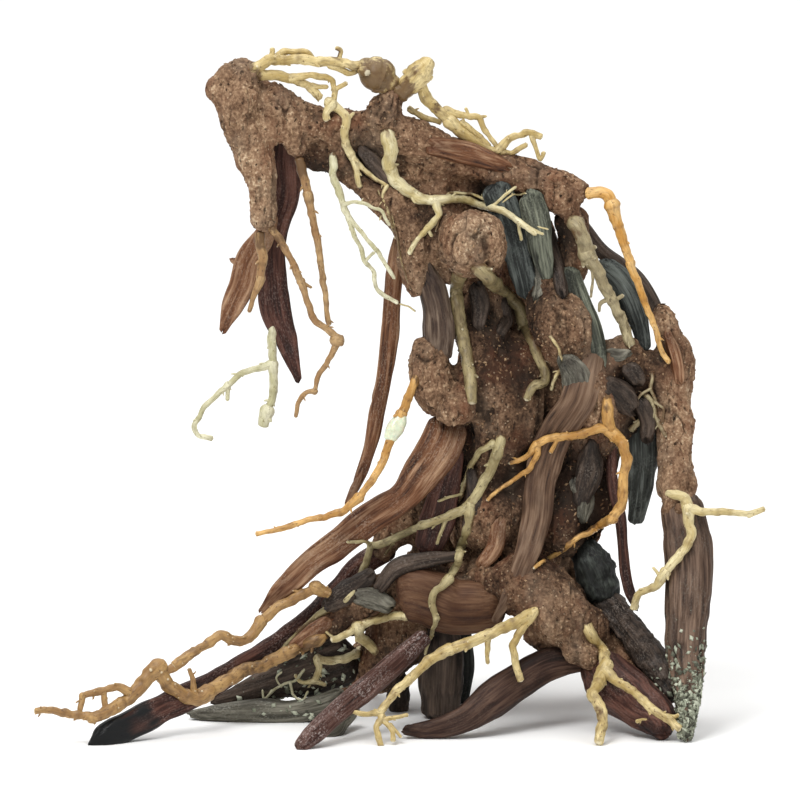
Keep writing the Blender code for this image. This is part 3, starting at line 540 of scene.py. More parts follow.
class Step(Enum):
    """Kinds of shader node: type, fixed settings, inputs in the order of their values, output."""

    PLACE = ("TexCoord", {}, (), "Object")
    VALUE = ("Attribute", {}, (), "Fac")
    COURSE = ("Attribute", {"attribute_name": "straight"}, (), "Vector")
    STRETCH = ("Mapping", {}, ("Vector", "Scale"), "Vector")
    NOISE = ("TexNoise", {}, ("Vector", "Scale", "Detail", "Roughness"), "Fac")
    CELL_COLOUR = ("TexVoronoi", {}, ("Vector", "Scale"), "Color")
    CELL_DISTANCE = ("TexVoronoi", {}, ("Vector", "Scale"), "Distance")
    FIRST_CHANNEL = ("SeparateColor", {}, ("Color",), 0)
    RANGE = ("MapRange", {}, ("Value", 1, 2, 3, 4), 0)
    MIX = ("Mix", {"data_type": "RGBA", "clamp_factor": True}, (0, 6, 7), 2)
    TIMES = ("Math", {"operation": "MULTIPLY", "use_clamp": True}, (0, 1), 0)
    TIMES_PLUS = ("Math", {"operation": "MULTIPLY_ADD", "use_clamp": True}, (0, 1, 2), 0)
    LARGER = ("Math", {"operation": "MAXIMUM", "use_clamp": True}, (0, 1), 0)
    BUMP = ("Bump", {}, ("Strength", "Distance", "Height"), "Normal")


def feed(tree: bpy.types.NodeTree, socket: bpy.types.NodeSocket, value: object) -> None:
    """Link a socket to the input, or set it to a number, a vector or a hex colour."""
    if isinstance(value, bpy.types.NodeSocket):
        tree.links.new(value, socket)
    else:
        socket.default_value = linear(value) if isinstance(value, str) else value


def add(tree: bpy.types.NodeTree, step: Step, *values: object, **settings: object) -> bpy.types.NodeSocket:
    """Add a node with its settings and links.

    Args:
        tree: Node tree of the material.
        step: Kind of node.
        values: Sockets, numbers, vectors or hex colours for its inputs, in the step's order.
        settings: Settings of this node alone.

    Returns:
        The step's output.
    """
    kind, fixed, inputs, output = step.value
    node = tree.nodes.new("ShaderNode" + kind)
    for key, value in {**fixed, **settings}.items():
        setattr(node, key, value)
    for key, value in zip(inputs, values):
        feed(tree, node.inputs[key], value)
    return node.outputs[output]


def graded(tree: bpy.types.NodeTree, level: bpy.types.NodeSocket, stops: list) -> bpy.types.NodeSocket:
    """Colour at the level between (level, hex colour) stops, one straight blend after another."""
    colour = stops[0][1]
    for (low, _), (high, code) in zip(stops[:-1], stops[1:]):
        colour = add(tree, Step.MIX, add(tree, Step.RANGE, level, low, high, 0.0, 1.0), colour, code)
    return colour


def tinted(tree: bpy.types.NodeTree, base: bpy.types.NodeSocket, where: bpy.types.NodeSocket,
           most: float, code: str) -> bpy.types.NodeSocket:
    """The base colour blended towards a hex colour by up to the share most, where the mask is full."""
    return add(tree, Step.MIX, add(tree, Step.TIMES, where, most), base, code)


def fibre(tree: bpy.types.NodeTree, size_mm: float, detail: float, lengthwise: float) -> bpy.types.NodeSocket:
    """Noise in the straightened piece, size_mm across the fibres and 1 / lengthwise as long along them."""
    course = add(tree, Step.STRETCH, add(tree, Step.COURSE), (1.0, 1.0, lengthwise))
    return add(tree, Step.NOISE, course, 1.0 / size_mm, detail, 0.6)


def grit(tree: bpy.types.NodeTree, size_mm: float, detail: float,
         stretch: tuple = (1.0, 1.0, 1.0)) -> bpy.types.NodeSocket:
    """Noise at the piece's place, with lumps size_mm wide before the stretch."""
    spot = add(tree, Step.STRETCH, add(tree, Step.PLACE), stretch)
    return add(tree, Step.NOISE, spot, 1.0 / (size_mm * MM), detail, 0.6)


class Finish:
    """What all finishes share: a material from a colour, a roughness, a height and shader values."""

    name: str
    roughness: float
    gloss: float
    bump_mm: float

    def rough(self, tree: bpy.types.NodeTree) -> object:
        """Roughness, the same all over."""
        return self.roughness

    def sockets(self) -> dict:
        """Values of the shader's own sockets."""
        return {"Specular IOR Level": self.gloss}

    def material(self) -> bpy.types.Material:
        """The finish on a Principled shader, its height as a bump bump_mm deep.

        Returns:
            The new material.
        """
        material = bpy.data.materials.new(self.name)
        material.use_nodes = True
        tree = material.node_tree
        shader = tree.nodes["Principled BSDF"]
        bump = add(tree, Step.BUMP, 1.0, self.bump_mm * MM, self.height(tree))
        feeds = {"Base Color": self.colour(tree), "Roughness": self.rough(tree), "Normal": bump}
        for key, value in {**feeds, **self.sockets()}.items():
            feed(tree, shader.inputs[key], value)
        return material


@dataclass(frozen=True)
class WoodFinish(Finish):
    """Weathered wood: fibres along the piece, dark in their grooves, with a pale bloom that is partly dust
    and partly painted highlight on the faces that look up and towards the camera.
    """

    name: str
    groove: str
    body: str
    ridge: str
    # Pale colour of the bloom, partly dust and partly painted highlight
    bloom: str
    stain: str = "#1c120e"
    char: str = "#121314"
    roughness: float = 0.62
    fibre_mm: float = 0.5
    gloss: float = 0.22
    bump_mm: float = 0.30

    def colour(self, tree: bpy.types.NodeTree) -> bpy.types.NodeSocket:
        """Groove, body and ridge by the relief and two fibre noises, then stain, the bloom of dust and
        painted highlight, and char.

        Args:
            tree: Node tree of the material.

        Returns:
            The colour.
        """
        broad = add(tree, Step.TIMES, fibre(tree, 4.2, 4.0, 0.10), 0.42)
        lines = add(tree, Step.TIMES_PLUS, fibre(tree, self.fibre_mm * 1.7, 5.0, 0.05), 0.62, broad)
        relief = add(tree, Step.VALUE, attribute_name="relief")
        level = add(tree, Step.RANGE, add(tree, Step.TIMES_PLUS, relief, 0.30, lines), 0.47, 0.90, 0.0, 1.0)
        base = graded(tree, level, [(0.0, self.groove), (0.45, self.body), (1.0, self.ridge)])
        stain = add(tree, Step.RANGE, fibre(tree, 9.0, 3.0, 0.3), 0.50, 0.64, 0.0, 1.0)
        base = tinted(tree, base, stain, 0.55, self.stain)
        speck = add(tree, Step.RANGE, fibre(tree, 0.55, 6.0, 0.55), 0.50, 0.66, 0.0, 1.0)
        # The bloom mask is partly dust and partly painted highlight on faces that look up and towards the
        # camera
        dust = add(tree, Step.TIMES, add(tree, Step.VALUE, attribute_name="bloom"), speck)
        base = tinted(tree, base, dust, 0.75, self.bloom)
        return add(tree, Step.MIX, add(tree, Step.VALUE, attribute_name="char"), base, self.char)

    def height(self, tree: bpy.types.NodeTree) -> bpy.types.NodeSocket:
        """Fine fibres with pits between them."""
        pits = add(tree, Step.TIMES, fibre(tree, 0.9, 3.0, 0.5), 0.4)
        return add(tree, Step.TIMES_PLUS, fibre(tree, self.fibre_mm * 1.6, 5.0, 0.08), 0.6, pits)

    def rough(self, tree: bpy.types.NodeTree) -> bpy.types.NodeSocket:
        """Roughness that wavers along the fibres and drops where the wood is charred."""
        plain = add(tree, Step.RANGE, fibre(tree, 2.5, 3.0, 0.3), 0.3, 0.7,
                    self.roughness - 0.16, self.roughness + 0.14)
        return add(tree, Step.TIMES_PLUS, add(tree, Step.VALUE, attribute_name="char"), -0.22, plain)


@dataclass(frozen=True)
class RootFinish(Finish):
    """Dry root: a smooth skin with fine lengthwise lines, darker rings and scattered scars."""

    name: str
    body: str
    pale: str
    scar: str
    cut: str = "#efe6c8"
    soil: str = "#5b4128"
    roughness: float = 0.45
    gloss: float = 0.35
    bump_mm: float = 0.10

    def colour(self, tree: bpy.types.NodeTree) -> bpy.types.NodeSocket:
        """Two tones along the root, scars by lines, stains, flecks and rings, soil, and pale broken ends.

        Args:
            tree: Node tree of the material.

        Returns:
            The colour.
        """
        tones = add(tree, Step.RANGE, fibre(tree, 4.5, 4.0, 0.35), 0.38, 0.62, 0.0, 1.0)
        base = graded(tree, tones, [(0.0, self.body), (1.0, self.pale)])
        lines, stains = (0.6, 4.0, 0.10, 0.72, 0.40), (2.4, 6.0, 0.35, 0.68, 0.6)
        for size_mm, detail, lengthwise, high, most in (lines, stains):
            mark = add(tree, Step.RANGE, fibre(tree, size_mm, detail, lengthwise), 0.50, high, 0.0, 1.0)
            base = tinted(tree, base, mark, most, self.scar)
        fleck = add(tree, Step.RANGE, fibre(tree, 1.0, 4.0, 0.6), 0.61, 0.67, 0.0, 1.0)
        rings = add(tree, Step.TIMES, add(tree, Step.VALUE, attribute_name="ring"), 0.45)
        marks = add(tree, Step.LARGER, add(tree, Step.TIMES, fleck, 0.8), rings)
        base = add(tree, Step.MIX, marks, base, self.scar)
        soiled = add(tree, Step.TIMES, add(tree, Step.VALUE, attribute_name="soil"), 0.6)
        dirt = add(tree, Step.TIMES_PLUS, fibre(tree, 1.8, 6.0, 0.6), 0.9, soiled)
        base = tinted(tree, base, add(tree, Step.RANGE, dirt, 0.62, 0.82, 0.0, 1.0), 0.9, self.soil)
        return add(tree, Step.MIX, add(tree, Step.VALUE, attribute_name="bloom"), base, self.cut)

    def height(self, tree: bpy.types.NodeTree) -> bpy.types.NodeSocket:
        """Fine lengthwise wrinkles."""
        return fibre(tree, 0.7, 3.0, 0.2)


@dataclass(frozen=True)
class MortarFinish(Finish):
    """Wood dust set in glue: brown grains with dark cracks between them, painted shade in their deep places,
    and pale chips.
    """

    name: str
    hole_and_painted_shade: str
    dark: str
    body: str
    light: str
    chip: str
    red: str = "#6a3b26"
    grey: str = "#6f6355"
    shade: str = "#2c2823"
    grain_mm: float = 1.1
    roughness: float = 0.85
    gloss: float = 0.15
    bump_mm: float = 0.45

    def colour(self, tree: bpy.types.NodeTree) -> bpy.types.NodeSocket:
        """Each grain its own tone, with red and grey patches, pale chips, dark cracks, painted shade where
        the relief is deep, and painted shade from the mortar's shade table.

        Args:
            tree: Node tree of the material.

        Returns:
            The colour.
        """
        level = add(tree, Step.TIMES, grit(tree, 9.0, 4.0), 0.30)
        level = add(tree, Step.TIMES_PLUS, grit(tree, 1.1, 8.0), 0.62, level)
        level = add(tree, Step.TIMES_PLUS, grit(tree, 2.2, 4.0, (1.0, 1.0, 0.35)), 0.26, level)
        level = add(tree, Step.TIMES_PLUS, add(tree, Step.VALUE, attribute_name="tone"), 0.16, level)
        base = graded(tree, add(tree, Step.RANGE, level, 0.47, 0.89, 0.0, 1.0),
                      [(0.0, self.dark), (0.48, self.body), (0.86, self.light), (1.0, self.chip)])
        base = tinted(tree, base, add(tree, Step.VALUE, attribute_name="red"), 0.4, self.red)
        for size_mm, stretch, tint in ((15.0, (1.0, 1.0, 0.7), self.red), (19.0, (1.2, 0.8, 0.6), self.grey)):
            patch = add(tree, Step.RANGE, grit(tree, size_mm, 5.0, stretch), 0.50, 0.66, 0.0, 1.0)
            base = tinted(tree, base, patch, 0.42, tint)
        cells = (add(tree, Step.PLACE), 1.0 / (self.grain_mm * MM))
        picked = add(tree, Step.FIRST_CHANNEL, add(tree, Step.CELL_COLOUR, *cells))
        inside = add(tree, Step.RANGE, add(tree, Step.CELL_DISTANCE, *cells), 0.30, 0.42, 1.0, 0.0)
        pale = add(tree, Step.TIMES, add(tree, Step.RANGE, picked, 0.86, 0.93, 0.0, 1.0), inside)
        base = tinted(tree, base, pale, 0.45, self.chip)
        crack = add(tree, Step.RANGE, grit(tree, 1.7, 8.0, (1.0, 1.0, 0.6)), 0.34, 0.43, 1.0, 0.0)
        # Painted shade: the low places of the relief, its pits and gullies, are darkened like recesses in
        # shade; the cracks are dark marks from noise.
        low = add(tree, Step.RANGE, add(tree, Step.VALUE, attribute_name="relief"), 0.02, 0.36, 1.0, 0.0)
        base = tinted(tree, base, add(tree, Step.LARGER, low, crack), 0.75, self.hole_and_painted_shade)
        # Painted shade: on the mortar the char value darkens it towards the shade colour in the hollows of
        # the shade table
        return add(tree, Step.MIX, add(tree, Step.VALUE, attribute_name="char"), base, self.shade)

    def height(self, tree: bpy.types.NodeTree) -> bpy.types.NodeSocket:
        """Fine dust."""
        return grit(tree, 0.8, 5.0)


@dataclass(frozen=True)
class ChipFinish(Finish):
    """Loose chips, one tone each: pale sapwood flakes, dark bark crumbs or lichen."""

    name: str
    dark: str
    body: str
    pale: str
    roughness: float = 0.75
    gloss: float = 0.2
    bump_mm: float = 0.2

    def colour(self, tree: bpy.types.NodeTree) -> bpy.types.NodeSocket:
        """The chip's own tone from dark to pale."""
        tone = add(tree, Step.VALUE, attribute_name="tone")
        return graded(tree, tone, [(0.0, self.dark), (0.45, self.body), (1.0, self.pale)])

    def height(self, tree: bpy.types.NodeTree) -> bpy.types.NodeSocket:
        """A rough, broken face."""
        return grit(tree, 0.5, 3.0)


@dataclass(frozen=True)
class GlueFinish(Finish):
    """Set white glue: a soft milky bead, slightly glossy."""

    name: str
    body: str
    clouded: str = "#b9bfa2"
    roughness: float = 0.3
    bump_mm: float = 0.15

    def sockets(self) -> dict:
        """Light that enters the bead, and a thin clear coat."""
        return {"Subsurface Weight": 0.3, "Subsurface Scale": 0.002, "Coat Weight": 0.3}

    def colour(self, tree: bpy.types.NodeTree) -> bpy.types.NodeSocket:
        """Milky, with clouded spots."""
        return graded(tree, grit(tree, 1.5, 3.0), [(0.2, self.clouded), (0.7, self.body)])

    def height(self, tree: bpy.types.NodeTree) -> bpy.types.NodeSocket:
        """Soft dents of the set drop."""
        return grit(tree, 1.2, 2.0)


@dataclass(frozen=True)
class PaperFinish(Finish):
    """Matt white paper with a barely visible tooth."""

    name: str = "paper_white"
    shaded: str = "#f6f6f5"
    body: str = "#fbfbfa"
    roughness: float = 0.9
    gloss: float = 0.2
    bump_mm: float = 0.01

    def colour(self, tree: bpy.types.NodeTree) -> bpy.types.NodeSocket:
        """Two whites in broad, faint clouds."""
        return graded(tree, grit(tree, 60.0, 2.0), [(0.0, self.shaded), (1.0, self.body)])

    def height(self, tree: bpy.types.NodeTree) -> bpy.types.NodeSocket:
        """Fine paper tooth."""
        return grit(tree, 0.6, 2.0)


def finished(name: str, surface: Surface, material: bpy.types.Material, node: str) -> None:
    """Add a surface as a piece that stands for a CAD node and rides on the root.

    Args:
        name: Name of the piece.
        surface: Its surface, in place.
        material: Its material.
        node: The CAD node that it replaces, or an empty text.
    """
    mesh = thinned(surface.mesh(name), MOST_TRIANGLES)
    mesh.materials.append(material)
    piece = bpy.data.objects.new(name, mesh)
    bpy.context.scene.collection.objects.link(piece)
    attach(piece, "root")
    if node:
        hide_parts(node)
    LOG.info("%s: %d faces", name, len(mesh.polygons))


def kept_inside(surface: Surface, box: tuple) -> Surface:
    """The surface with its points held inside the box of the solids and above the ground."""
    surface.points = np.clip(surface.points, np.array(box[0]) + INSIDE, np.array(box[1]) - INSIDE)
    return surface


@dataclass
class WoodPiece:
    """A slat, stick, log or lump of weathered wood, made of one or more limbs."""

    flatness: float
    limbs: list
    pattern: Pattern = Pattern.FIBROUS
    relief_mm: float = 0.40
    warp_mm: float = 0.45
    reach: tuple = (0.0, 0.0)
    slim: float = 1.0
    sink: float = 0.0
    bury_mm: tuple = (0.0, 0.0)
    bloom: float = 0.25
    char: tuple = (1.1, 1.2)
    splinter_mm: float = 2.0
    frayed_mm: float = 5.0
    squareness: float = 2.6
    ring_gap_mm: float = 0.8
    point_gap_mm: float = 0.75
    fewest_sides: int = 16
    most_sides: int = 72
    seed: int = 0

    def base(self, trees: list) -> Surface:
        """Limbs as smooth swept surfaces in place.

        Args:
            trees: Search trees of what the piece lies on.

        Returns:
            Surface with the swept values and "limb", the number of the limb.
        """
        made = []
        for index, limb in enumerate(self.limbs):
            half_depths = [point[3] * self.flatness for point in limb]
            depths = seated([point[:3] for point in limb], half_depths, trees, [])
            depths = [depth + self.sink * point[3] * UNIT / MM for point, depth in zip(limb, depths)]
            depths[0] += self.bury_mm[0]
            depths[-1] += self.bury_mm[1]
            knots = np.array([[*place(point[0], point[1], depth), point[3] * UNIT * self.slim]
                              for point, depth in zip(limb, depths)])
            for end, inner, distance in ((0, 1, self.reach[0]), (-1, -2, self.reach[1])):
                way = knots[end, :3] - knots[inner, :3]
                further = knots[end].copy()
                further[:3] += way / np.linalg.norm(way) * distance * MM
                if distance:
                    knots = np.insert(knots, 0 if end == 0 else len(knots), further, axis=0)
            route = smooth_route(knots, self.ring_gap_mm * MM)
            around = 2.0 * math.pi * (route[:, 3].max() / MM) * (0.5 + 0.5 * self.flatness)
            sides = int(np.clip(around / self.point_gap_mm, self.fewest_sides, self.most_sides))
            along = np.linspace(0.0, len(route) * self.ring_gap_mm, len(route))
            lane = np.stack([along, along * 0.0 + 11.0 * index, along * 0.0 + self.seed], axis=1)
            swell = 1.0 + 0.06 * smooth_noise(lane, 7.0, self.seed)
            route[:, 3] = np.maximum(route[:, 3], THINNEST_MM * MM) * swell
            made.append(swept(route, sides, self.flatness, self.squareness, (0.7, 0.7)))
            made[-1].values["limb"] = np.full(len(made[-1].points), float(index))
        return made[0].merged(made[1:])

    def carve(self, surface: Surface) -> Surface:
        """The surface with fibres, ribs, cracks and splintered ends.

        The height over the smooth piece is a sum of noises in the straightened piece, drawn
        out along it: fine fibres, broad fibres, lumps, ribs 1 - 2|noise| on ribbed wood, and
        cracks where one slow noise passes through zero.

        Args:
            surface: What base() made.

        Returns:
            The same surface, carved, with "relief", "bloom" (dust and painted highlight) and "char".
        """
        values = surface.values
        apart = np.array([0.0, 0.0, 37.0 * self.seed])
        straight = values["straight"] + apart + 90.0 * values["limb"][:, None]
        fine = drawn_noise(straight, 0.09, 0.9, self.seed + 1)
        broad = drawn_noise(straight, 0.09, 2.6, self.seed + 2)
        lumps = drawn_noise(straight, 0.5, 5.0, self.seed + 3)
        bend = drawn_noise(straight, 0.3, 8.0, self.seed + 8)
        crest = 1.0 - 2.0 * np.abs(drawn_noise(straight, 0.045, 3.0, self.seed + 9))
        crack = bell(drawn_noise(straight, 0.05, 3.4, self.seed + 4) / 0.07) * unit(lumps * 2.0 + 0.4)
        fibres = self.relief_mm * (0.4 * fine + 0.4 * broad + 0.5 * crest)
        height = fibres + 0.38 * lumps + self.warp_mm * bend
        relief = 0.5 + 0.24 * fine + 0.20 * broad + 0.22 * crest
        if self.pattern is Pattern.CRUST:
            crust = smooth_noise(surface.points / MM, 3.4, self.seed + 5)
            grain = smooth_noise(surface.points / MM, 1.2, self.seed + 10)
            height = 0.9 * crust + 0.35 * grain + 0.5 * bend
            relief = 0.45 + 0.35 * crust + 0.25 * grain
        if self.pattern is Pattern.RIBBED:
            rib = 1.0 - 2.0 * np.abs(drawn_noise(straight, 0.035, 2.1, self.seed + 5))
            height += self.relief_mm * 0.9 * rib
            relief = 0.5 + 0.38 * rib + 0.14 * fine
        height -= self.pattern.value * crack
        relief -= 0.5 * crack
        share = values["share"]
        long_mm = values["along"].max()
        circle = [np.cos(values["around"]), np.sin(values["around"]), values["limb"] + share.round()]
        jag = smooth_noise(np.stack(circle, axis=1), 0.45, self.seed + 6)
        near_end = unit(1.0 - (1.0 - share) * long_mm / self.frayed_mm)
        near_start = unit(1.0 - share * long_mm / self.frayed_mm)
        normals = surface.normals()
        tangent = self.directions(surface)
        raised = normals * height[:, None] * MM * np.clip(values["taper"], 0.2, 1.0)[:, None]
        frayed = tangent * (jag * (near_end - near_start) * self.splinter_mm * MM * 0.6)[:, None]
        surface.points = surface.points + raised + frayed
        patch = smooth_noise(surface.points / MM, 7.0, self.seed + 7)
        # Painted highlight: the bloom is heavier on faces that look up and towards the camera, on top of the
        # dust patches
        dust_and_highlight_facing = unit(0.35 + 0.55 * normals[:, 2] - 0.35 * normals[:, 1])
        values["relief"] = unit(relief)
        values["bloom"] = unit(self.bloom * (0.6 + 0.8 * patch) * dust_and_highlight_facing * 2.0)
        edge = share + 0.05 * patch + 0.04 * fine
        values["char"] = unit((edge - self.char[0]) / max(self.char[1] - self.char[0], 1e-3))
        return surface

    def directions(self, surface: Surface) -> np.ndarray:
        """Direction of the piece, and the value "taper" from its thickness.

        Args:
            surface: What base() made, which gets the value.

        Returns:
            For each point the unit vector from the start of its limb to the end.
        """
        limb = surface.values["limb"]
        share = surface.values["share"]
        result = np.zeros_like(surface.points)
        reach = np.linalg.norm(surface.values["straight"][:, :2], axis=1)
        surface.values["taper"] = unit(reach / 2.5)
        for one in np.unique(limb):
            own = limb == one
            start = surface.points[own & (share < 0.15)].mean(axis=0)
            end = surface.points[own & (share > 0.85)].mean(axis=0)
            result[own] = (end - start) / max(np.linalg.norm(end - start), 1e-9)
        return result


@dataclass
class RootSystem:
    """A dry root with its branches: (first width, last width, points)."""

    branches: list
    seed: int = 0
    gnarl_mm: float = 0.24
    spur_gap_mm: float = 12.0
    ring_gap_mm: float = 0.55
    point_gap_mm: float = 0.5
    fewest_sides: int = 8
    most_sides: int = 22
    joined_mm: float = 0.5
    wander_mm: float = 0.38
    wander_cell_mm: float = 6.5
    waver_mm: float = 0.16
    waver_cell_mm: float = 2.4
    knot_swell: float = 0.09
    ring_swell: float = 0.11
    wrinkle_mm: float = 0.09
    spur_widths: tuple = (0.46, 0.34, 0.16)
    spur_mm: tuple = (0.5, 1.8)
    spur_thinnest_mm: float = 0.16
    hidden_mm: float = 5.0
    stains: list = field(default_factory=list)
    settled: dict = field(default_factory=dict)

    def routes(self, wood: list, roots: list) -> list:
        """Branch routes in place, as rows of x, y, z and half width.

        Args:
            wood: Search trees of the wood and the trunk.
            roots: Search trees of the roots laid before.

        Returns:
            One array for each branch, its knots no further apart than ROOT_STEP.
        """
        made = []
        for order, (first_width, last_width, raw) in enumerate(self.branches):
            knots = [(point[0], point[1], point[2] if len(point) > 2 else self.settled.get(point[:2]))
                     for point in raw]
            route = [knots[0]]
            for start, end in zip(knots[:-1], knots[1:]):
                pieces = max(1, math.ceil(math.hypot(end[0] - start[0], end[1] - start[1]) / ROOT_STEP))
                for index in range(1, pieces + 1):
                    share = index / pieces
                    known = start[2] is not None and end[2] is not None
                    depth = start[2] + share * (end[2] - start[2]) if known else None
                    route.append((start[0] + share * (end[0] - start[0]),
                                  start[1] + share * (end[1] - start[1]),
                                  end[2] if index == pieces else depth))
            half = 0.5 * np.linspace(first_width, last_width, len(route))
            depths = seated(route, list(half), wood, roots)
            behind = seen_depth(wood, *route[0][:2]) - depths[0]
            if order == 0 and behind < self.hidden_mm:
                depths[0] += behind + 1.3 * half[0] * UNIT / MM
            self.settled.update({spot[:2]: depth for spot, depth in zip(route, depths)})
            rows = [[*place(spot[0], spot[1], depth), max(width * UNIT, THINNEST_MM * MM)]
                    for spot, depth, width in zip(route, depths, half)]
            made.append(np.array(rows))
        return made

    def surface(self, wood: list, roots: list, trunk: list) -> Surface:
        """The whole root: branches with swollen rings, small spurs and broken ends.

        The half width along a branch is its table value times 1 + knot_swell noise + the sum of
        ring_swell a exp(-(distance to a ring / r)^2), with random a and r, and the route wanders
        by two noises of place, so that branches that meet wander together.

        Args:
            wood: Search trees of the wood and the trunk.
            roots: Search trees of the roots laid before.
            trunk: Search trees of the trunk alone, near which the root is soiled.

        Returns:
            Surface with the swept values, "ring", "bloom" and "soil".
        """
        rng = np.random.default_rng(self.seed)
        made = []
        lines = [smooth_route(knots, self.ring_gap_mm * MM) for knots in self.routes(wood, roots)]
        for line in lines:
            spots = line[:, :3] / MM
            for axis in range(3):
                wander = self.wander_mm * smooth_noise(spots, self.wander_cell_mm, self.seed + 31 + axis)
                waver = self.waver_mm * smooth_noise(spots, self.waver_cell_mm, self.seed + 34 + axis)
                line[:, axis] += MM * (wander + waver)
        for index, line in enumerate(lines):
            route = self.joined(line, lines[:index] + lines[index + 1:])
            along = self.ring_gap_mm * np.arange(len(route))
            lane = np.stack([along, along * 0.0 + 13.0 * index, along * 0.0 + self.seed], axis=1)
            rings = np.cumsum(rng.uniform(4.0, 14.0, 60))
            rings = rings[rings < along[-1]]
            near = np.zeros(len(along))
            for ring in rings:
                near += rng.uniform(0.15, 1.0) * bell((along - ring) / rng.uniform(0.5, 1.1))
            knots = self.knot_swell * smooth_noise(lane, 3.4, self.seed + 40)
            route[:, 3] *= 1.0 + knots + self.ring_swell * near
            around = 2.0 * math.pi * route[:, 3].max() / MM
            sides = int(np.clip(around / self.point_gap_mm, self.fewest_sides, self.most_sides))
            round_ends = tuple(1.0 if meets else 0.45 for meets in route[[0, -1], 4])
            tube = swept(route[:, :4], sides, 1.0, 2.0, round_ends)
            tube.values["ring"] = np.concatenate([np.repeat(unit(near), sides), [0.0, 0.0]])
            end = np.zeros(len(tube.points))
            if not route[-1, 4]:
                end[-1] = 1.0
                end[(len(route) - 1) * sides:len(route) * sides] = 0.8
            tube.values["bloom"] = end
            made.append(tube)
            made += self.spurs(route, rng)
        whole = made[0].merged(made[1:])
        wrinkle = drawn_noise(whole.values["straight"], 0.25, 0.9, self.seed + 50)
        lumps = smooth_noise(whole.points / MM, 2.2, self.seed + 51)
        reach = np.clip(np.linalg.norm(whole.values["straight"][:, :2], axis=1) / 1.6, 0.1, 1.0)
        height = (self.wrinkle_mm * wrinkle + self.gnarl_mm * lumps) * reach
        whole.points = whole.points + whole.normals() * height[:, None] * MM
        near_wood = np.array([min(tree.find_nearest(point, 2.5 * MM)[3] or 9.0 for tree in trunk)
                              for point in whole.points.tolist()]) / MM
        soil = np.clip(0.8 - (near_wood - 0.3) / 2.0, 0.0, 0.6)
        for across, down, reach_mm, strength in self.stains:
            seen = whole.points[:, [0, 2]] / MM - place(across, down, 0.0)[[0, 2]] / MM
            soil = np.maximum(soil, strength * bell(np.linalg.norm(seen, axis=1) / reach_mm))
        whole.values["soil"] = soil
        return whole

    def joined(self, line: np.ndarray, others: list) -> np.ndarray:
        """The route with its joined ends drawn out to half balls and flared at the start.

        Args:
            line: Rows of x, y, z and half width of one branch.
            others: The same of the other branches.

        Returns:
            Rows with a fifth value: 1 on an end that meets another branch.
        """
        meets = []
        for end in (line[0], line[-1]):
            gaps = [(np.linalg.norm(other[:, :3] - end[:3], axis=1) - other[:, 3]).min() for other in others]
            meets.append(bool(gaps) and min(gaps) < self.joined_mm * MM)
        route = line.copy()
        step = np.linalg.norm(line[1, :3] - line[0, :3])
        if meets[0]:
            along = step * np.arange(len(route))
            route[:, 3] *= 1.0 + 0.35 * np.exp(-along / (1.6 * route[0, 3]))
        for met, row, inner_row in ((meets[0], 0, 1), (meets[1], -1, -2)):
            if not met:
                continue
            end, inner = route[row], route[inner_row]
            way = (end[:3] - inner[:3]) / np.linalg.norm(end[:3] - inner[:3])
            count = max(1, int(round(end[3] / step)))
            extra = np.array([[*(end[:3] + way * step * index), end[3]] for index in range(1, count + 1)])
            route = np.concatenate([route, extra] if row else [extra[::-1], route])
        flags = np.zeros((len(route), 1))
        flags[0], flags[-1] = meets
        return np.hstack([route, flags])

    def spurs(self, route: np.ndarray, rng: np.random.Generator) -> list:
        """Short broken rootlets that stand out of a branch.

        Args:
            route: Rows of x, y, z and half width of the branch.
            rng: Seeded source of their places, lengths and directions.

        Returns:
            Thin tapering swept surfaces.
        """
        made = []
        count = int(len(route) * self.ring_gap_mm / self.spur_gap_mm)
        for _ in range(count):
            spot = rng.integers(4, max(5, len(route) - 4))
            start = route[spot, :3]
            half = route[spot, 3]
            ahead = route[min(spot + 2, len(route) - 1), :3] - route[max(spot - 2, 0), :3]
            ahead /= max(np.linalg.norm(ahead), 1e-9)
            out = rng.normal(size=3)
            out -= np.dot(out, ahead) * ahead
            out /= np.linalg.norm(out)
            if out[1] > 0.2:
                out[1] = -out[1]
            way = out + rng.uniform(-0.2, 0.9) * ahead
            way /= np.linalg.norm(way)
            length = half + rng.uniform(*self.spur_mm) * MM
            places = [start, start + 0.6 * length * way, start + length * way + 0.25 * length * ahead]
            knots = np.array([[*spot, half * share] for spot, share in zip(places, self.spur_widths)])
            knots[:, 3] = np.maximum(knots[:, 3], self.spur_thinnest_mm * MM)
            spur = swept(smooth_route(knots, 0.5 * MM), 6, 1.0, 2.0, (0.3, 0.3))
            spur.values["ring"] = np.full(len(spur.points), 0.15)
            spur.values["bloom"] = np.where(spur.values["share"] > 0.9, 0.5, 0.0)
            made.append(spur)
        return made


